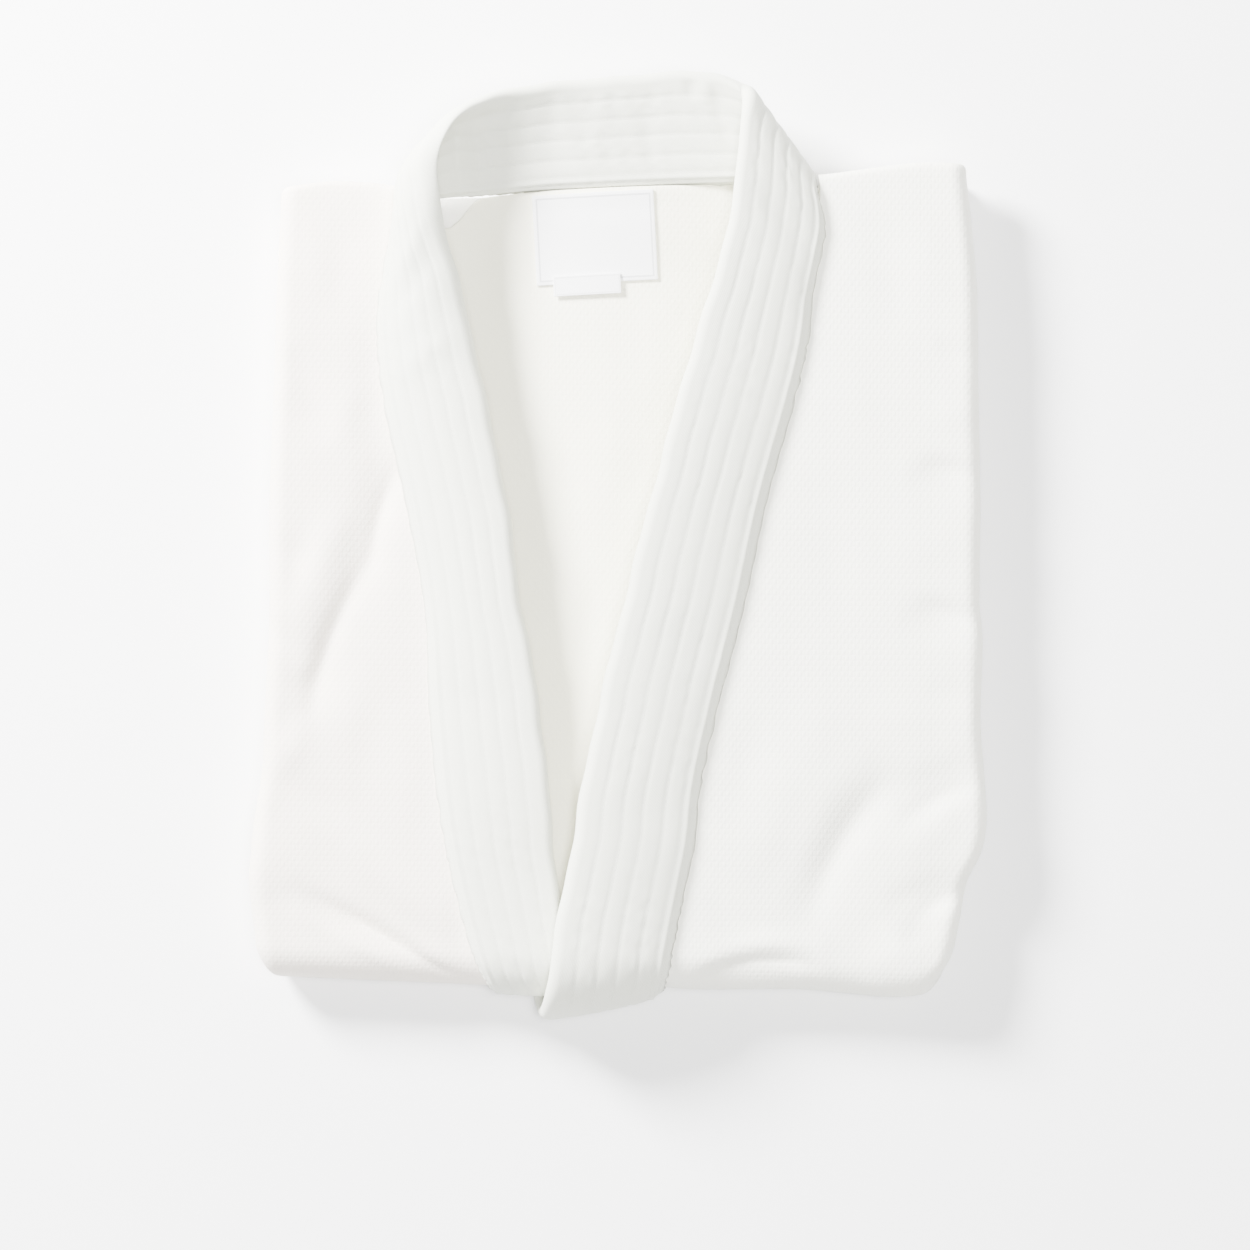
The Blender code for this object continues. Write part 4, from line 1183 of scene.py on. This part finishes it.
def cloth(name, light, dark, roughness, layers, wear=0.5, lint_tint=0.5, base=0.0):
    """Cotton: a colour that drifts a little over the cloth, and height from its weave and stitches.

    layers are (node group, height in metres, how much its tops lighten the colour).
    """
    material = bpy.data.materials.new(name + FINISH)
    material.use_nodes = True
    tree = material.node_tree
    shader = tree.nodes["Principled BSDF"]
    shader.inputs["Roughness"].default_value = roughness
    shader.inputs["Sheen Weight"].default_value = 0.15
    shader.inputs["Sheen Roughness"].default_value = 0.6
    place = tree.nodes.new("ShaderNodeTexCoord").outputs["Object"]
    drift = tree.nodes.new("ShaderNodeTexNoise")
    drift.inputs["Scale"].default_value = DRIFT_SCALE
    drift.inputs["Detail"].default_value = 4.0
    tree.links.new(place, drift.inputs["Vector"])
    lint = tree.nodes.new("ShaderNodeTexNoise")
    lint.inputs["Scale"].default_value = LINT_SCALE
    lint.inputs["Detail"].default_value = 3.0
    tree.links.new(place, lint.inputs["Vector"])
    drifted = math_node(tree, "MULTIPLY_ADD", drift.outputs[0], wear, base)
    shade = math_node(tree, "MULTIPLY_ADD", lint.outputs[0], lint_tint, drifted)
    height = math_node(tree, "MULTIPLY", lint.outputs[0], LINT_HEIGHT)
    for group, rise, tint in layers:
        value = put_group(material, group)
        height = math_node(tree, "MULTIPLY_ADD", value, rise, height)
        shade = math_node(tree, "MULTIPLY_ADD", value, tint, shade)
    blend = tree.nodes.new("ShaderNodeMix")
    blend.data_type = "RGBA"
    tree.links.new(shade, blend.inputs[0])
    blend.inputs[6].default_value = (*dark, 1.0)
    blend.inputs[7].default_value = (*light, 1.0)
    tree.links.new(blend.outputs[2], shader.inputs["Base Color"])
    bump = tree.nodes.new("ShaderNodeBump")
    bump.inputs["Strength"].default_value = 1.0
    bump.inputs["Distance"].default_value = 1.0
    tree.links.new(height, bump.inputs["Height"])
    tree.links.new(bump.outputs[0], shader.inputs["Normal"])
    return material


# Stage

def build_stage():
    mesh = bmesh.new()
    bmesh.ops.create_grid(mesh, x_segments=1, y_segments=1, size=3.0)
    data = bpy.data.meshes.new("floor")
    mesh.to_mesh(data)
    mesh.free()
    floor = bpy.data.objects.new("floor", data)
    bpy.context.scene.collection.objects.link(floor)
    paper = bpy.data.materials.new("white_paper")
    paper.use_nodes = True
    shader = paper.node_tree.nodes["Principled BSDF"]
    shader.inputs["Base Color"].default_value = (0.95, 0.95, 0.95, 1.0)
    shader.inputs["Roughness"].default_value = 0.9
    data.materials.append(paper)


Lamp = namedtuple("Lamp", "name x y z size watts")
LAMPS = (
    Lamp("softbox_above", 0.2, -0.1, 2.3, 0.8, 130),
    Lamp("softbox_left", -1.2, 1.05, 0.95, 0.6, 340),
)
SKY = 0.35


def light_scene():
    world = bpy.data.worlds.new("soft_studio")
    bpy.context.scene.world = world
    world.use_nodes = True
    world.node_tree.nodes["Background"].inputs[0].default_value = (1.0, 1.0, 1.0, 1.0)
    world.node_tree.nodes["Background"].inputs[1].default_value = SKY
    for row in LAMPS:
        lamp = bpy.data.lights.new(row.name, "AREA")
        lamp.shape = "DISK"
        lamp.size = row.size
        lamp.energy = row.watts
        softbox = bpy.data.objects.new(row.name, lamp)
        softbox.location = (row.x, row.y, row.z)
        softbox.rotation_euler = (-softbox.location).to_track_quat("-Z", "Y").to_euler()
        bpy.context.scene.collection.objects.link(softbox)


def place_camera():
    data = bpy.data.cameras.new("camera")
    data.lens = 116.5
    data.sensor_width = 36.0
    camera = bpy.data.objects.new("camera", data)
    camera.location = (0.0032, -0.0350, 1.82)
    bpy.context.scene.collection.objects.link(camera)
    bpy.context.scene.camera = camera


def main():
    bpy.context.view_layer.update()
    weave = grain_weave("rice_grain", GRAIN_WIDE, GRAIN_LONG)
    band_twill = fine_twill("band_twill", 0.0011)
    band_rows = [row * BAND_WIDTH * MILLIMETRE for row in (EDGE_ROW, *BAND_ROWS)]
    band_stitches = row_stitches("band_rows", band_rows)
    right_seam = row_stitches("right_yoke_seam", RIGHT_YOKE, down=False)
    left_seam = row_stitches("left_yoke_seam", LEFT_YOKE, down=False)
    # The wearer's right front: a pinker tint, and painted shade: a darker copy of the front cotton than
    # the left front's
    shaded_pink_right_cloth = cloth(
        "front_weave", (0.93, 0.865, 0.78), (0.84, 0.77, 0.68), 0.95,
        [(weave, 0.00009, 0.1), (right_seam, 0.0002, 0.2)],
    )
    # The wearer's left front: painted light: a lighter copy of the same front cotton
    lit_left_cloth = cloth(
        "front_weave", (0.95, 0.95, 0.86), (0.89, 0.88, 0.78), 0.95,
        [(weave, 0.00009, 0.1), (left_seam, 0.0002, 0.2)],
    )
    back_cloth = cloth(
        "back_weave", (0.94, 0.93, 0.78), (0.86, 0.83, 0.67), 0.95,
        [(weave, 0.00008, 0.1)],
    )
    band_cloth = cloth(
        "band_cotton", (0.74, 0.755, 0.665), (0.64, 0.655, 0.565), 0.9,
        [(band_twill, 0.00004, 0.1), (band_stitches, 0.0002, 0.25)],
    )
    skirt_cloth = cloth(
        "skirt_cotton", (0.93, 0.91, 0.86), (0.86, 0.84, 0.78), 0.95,
        [(band_twill, 0.00006, 0.1)],
    )
    layer_cloth = cloth(
        "layer_cotton", (0.90, 0.89, 0.84), (0.80, 0.79, 0.73), 0.95,
        [(weave, 0.0001, 0.1)],
    )
    label_weave = fine_twill("label_weave", 0.0005)
    label_frame = woven_frame("label_frame", 0.027, 0.020, 0.0022, 0.0007)
    label_cloth = cloth(
        "label_satin", (0.93, 0.93, 0.93), (0.46, 0.46, 0.48), 0.6,
        [(label_weave, 0.00003, 0.1), (label_frame, 0.00008, -0.6)], wear=0.1, lint_tint=0.1, base=0.75,
    )
    tag_frame = woven_frame("tag_frame", 0.015, 0.0045, 0.001, 0.0004)
    tag_cloth = cloth(
        "tag_satin", (0.90, 0.90, 0.90), (0.56, 0.56, 0.57), 0.55,
        [(label_weave, 0.00003, 0.1), (tag_frame, 0.00005, -0.4)], wear=0.1, lint_tint=0.1, base=0.75,
    )
    rings = band_rings()
    limits = (seam_limits(rings, -1), seam_limits(rings, 1))
    build_core(limits, layer_cloth)
    build_band(rings, band_cloth)
    build_front("right_front_cloth", -1, limits[0], shaded_pink_right_cloth, "front_right")
    build_front("left_front_cloth", 1, limits[1], lit_left_cloth, "front_left")
    build_back(limits, rings, back_cloth)
    build_patch(LABEL, limits, label_cloth)
    build_patch(TAG, limits, tag_cloth)
    build_stage()
    build_skirt(skirt_cloth)
    light_scene()
    place_camera()


main()
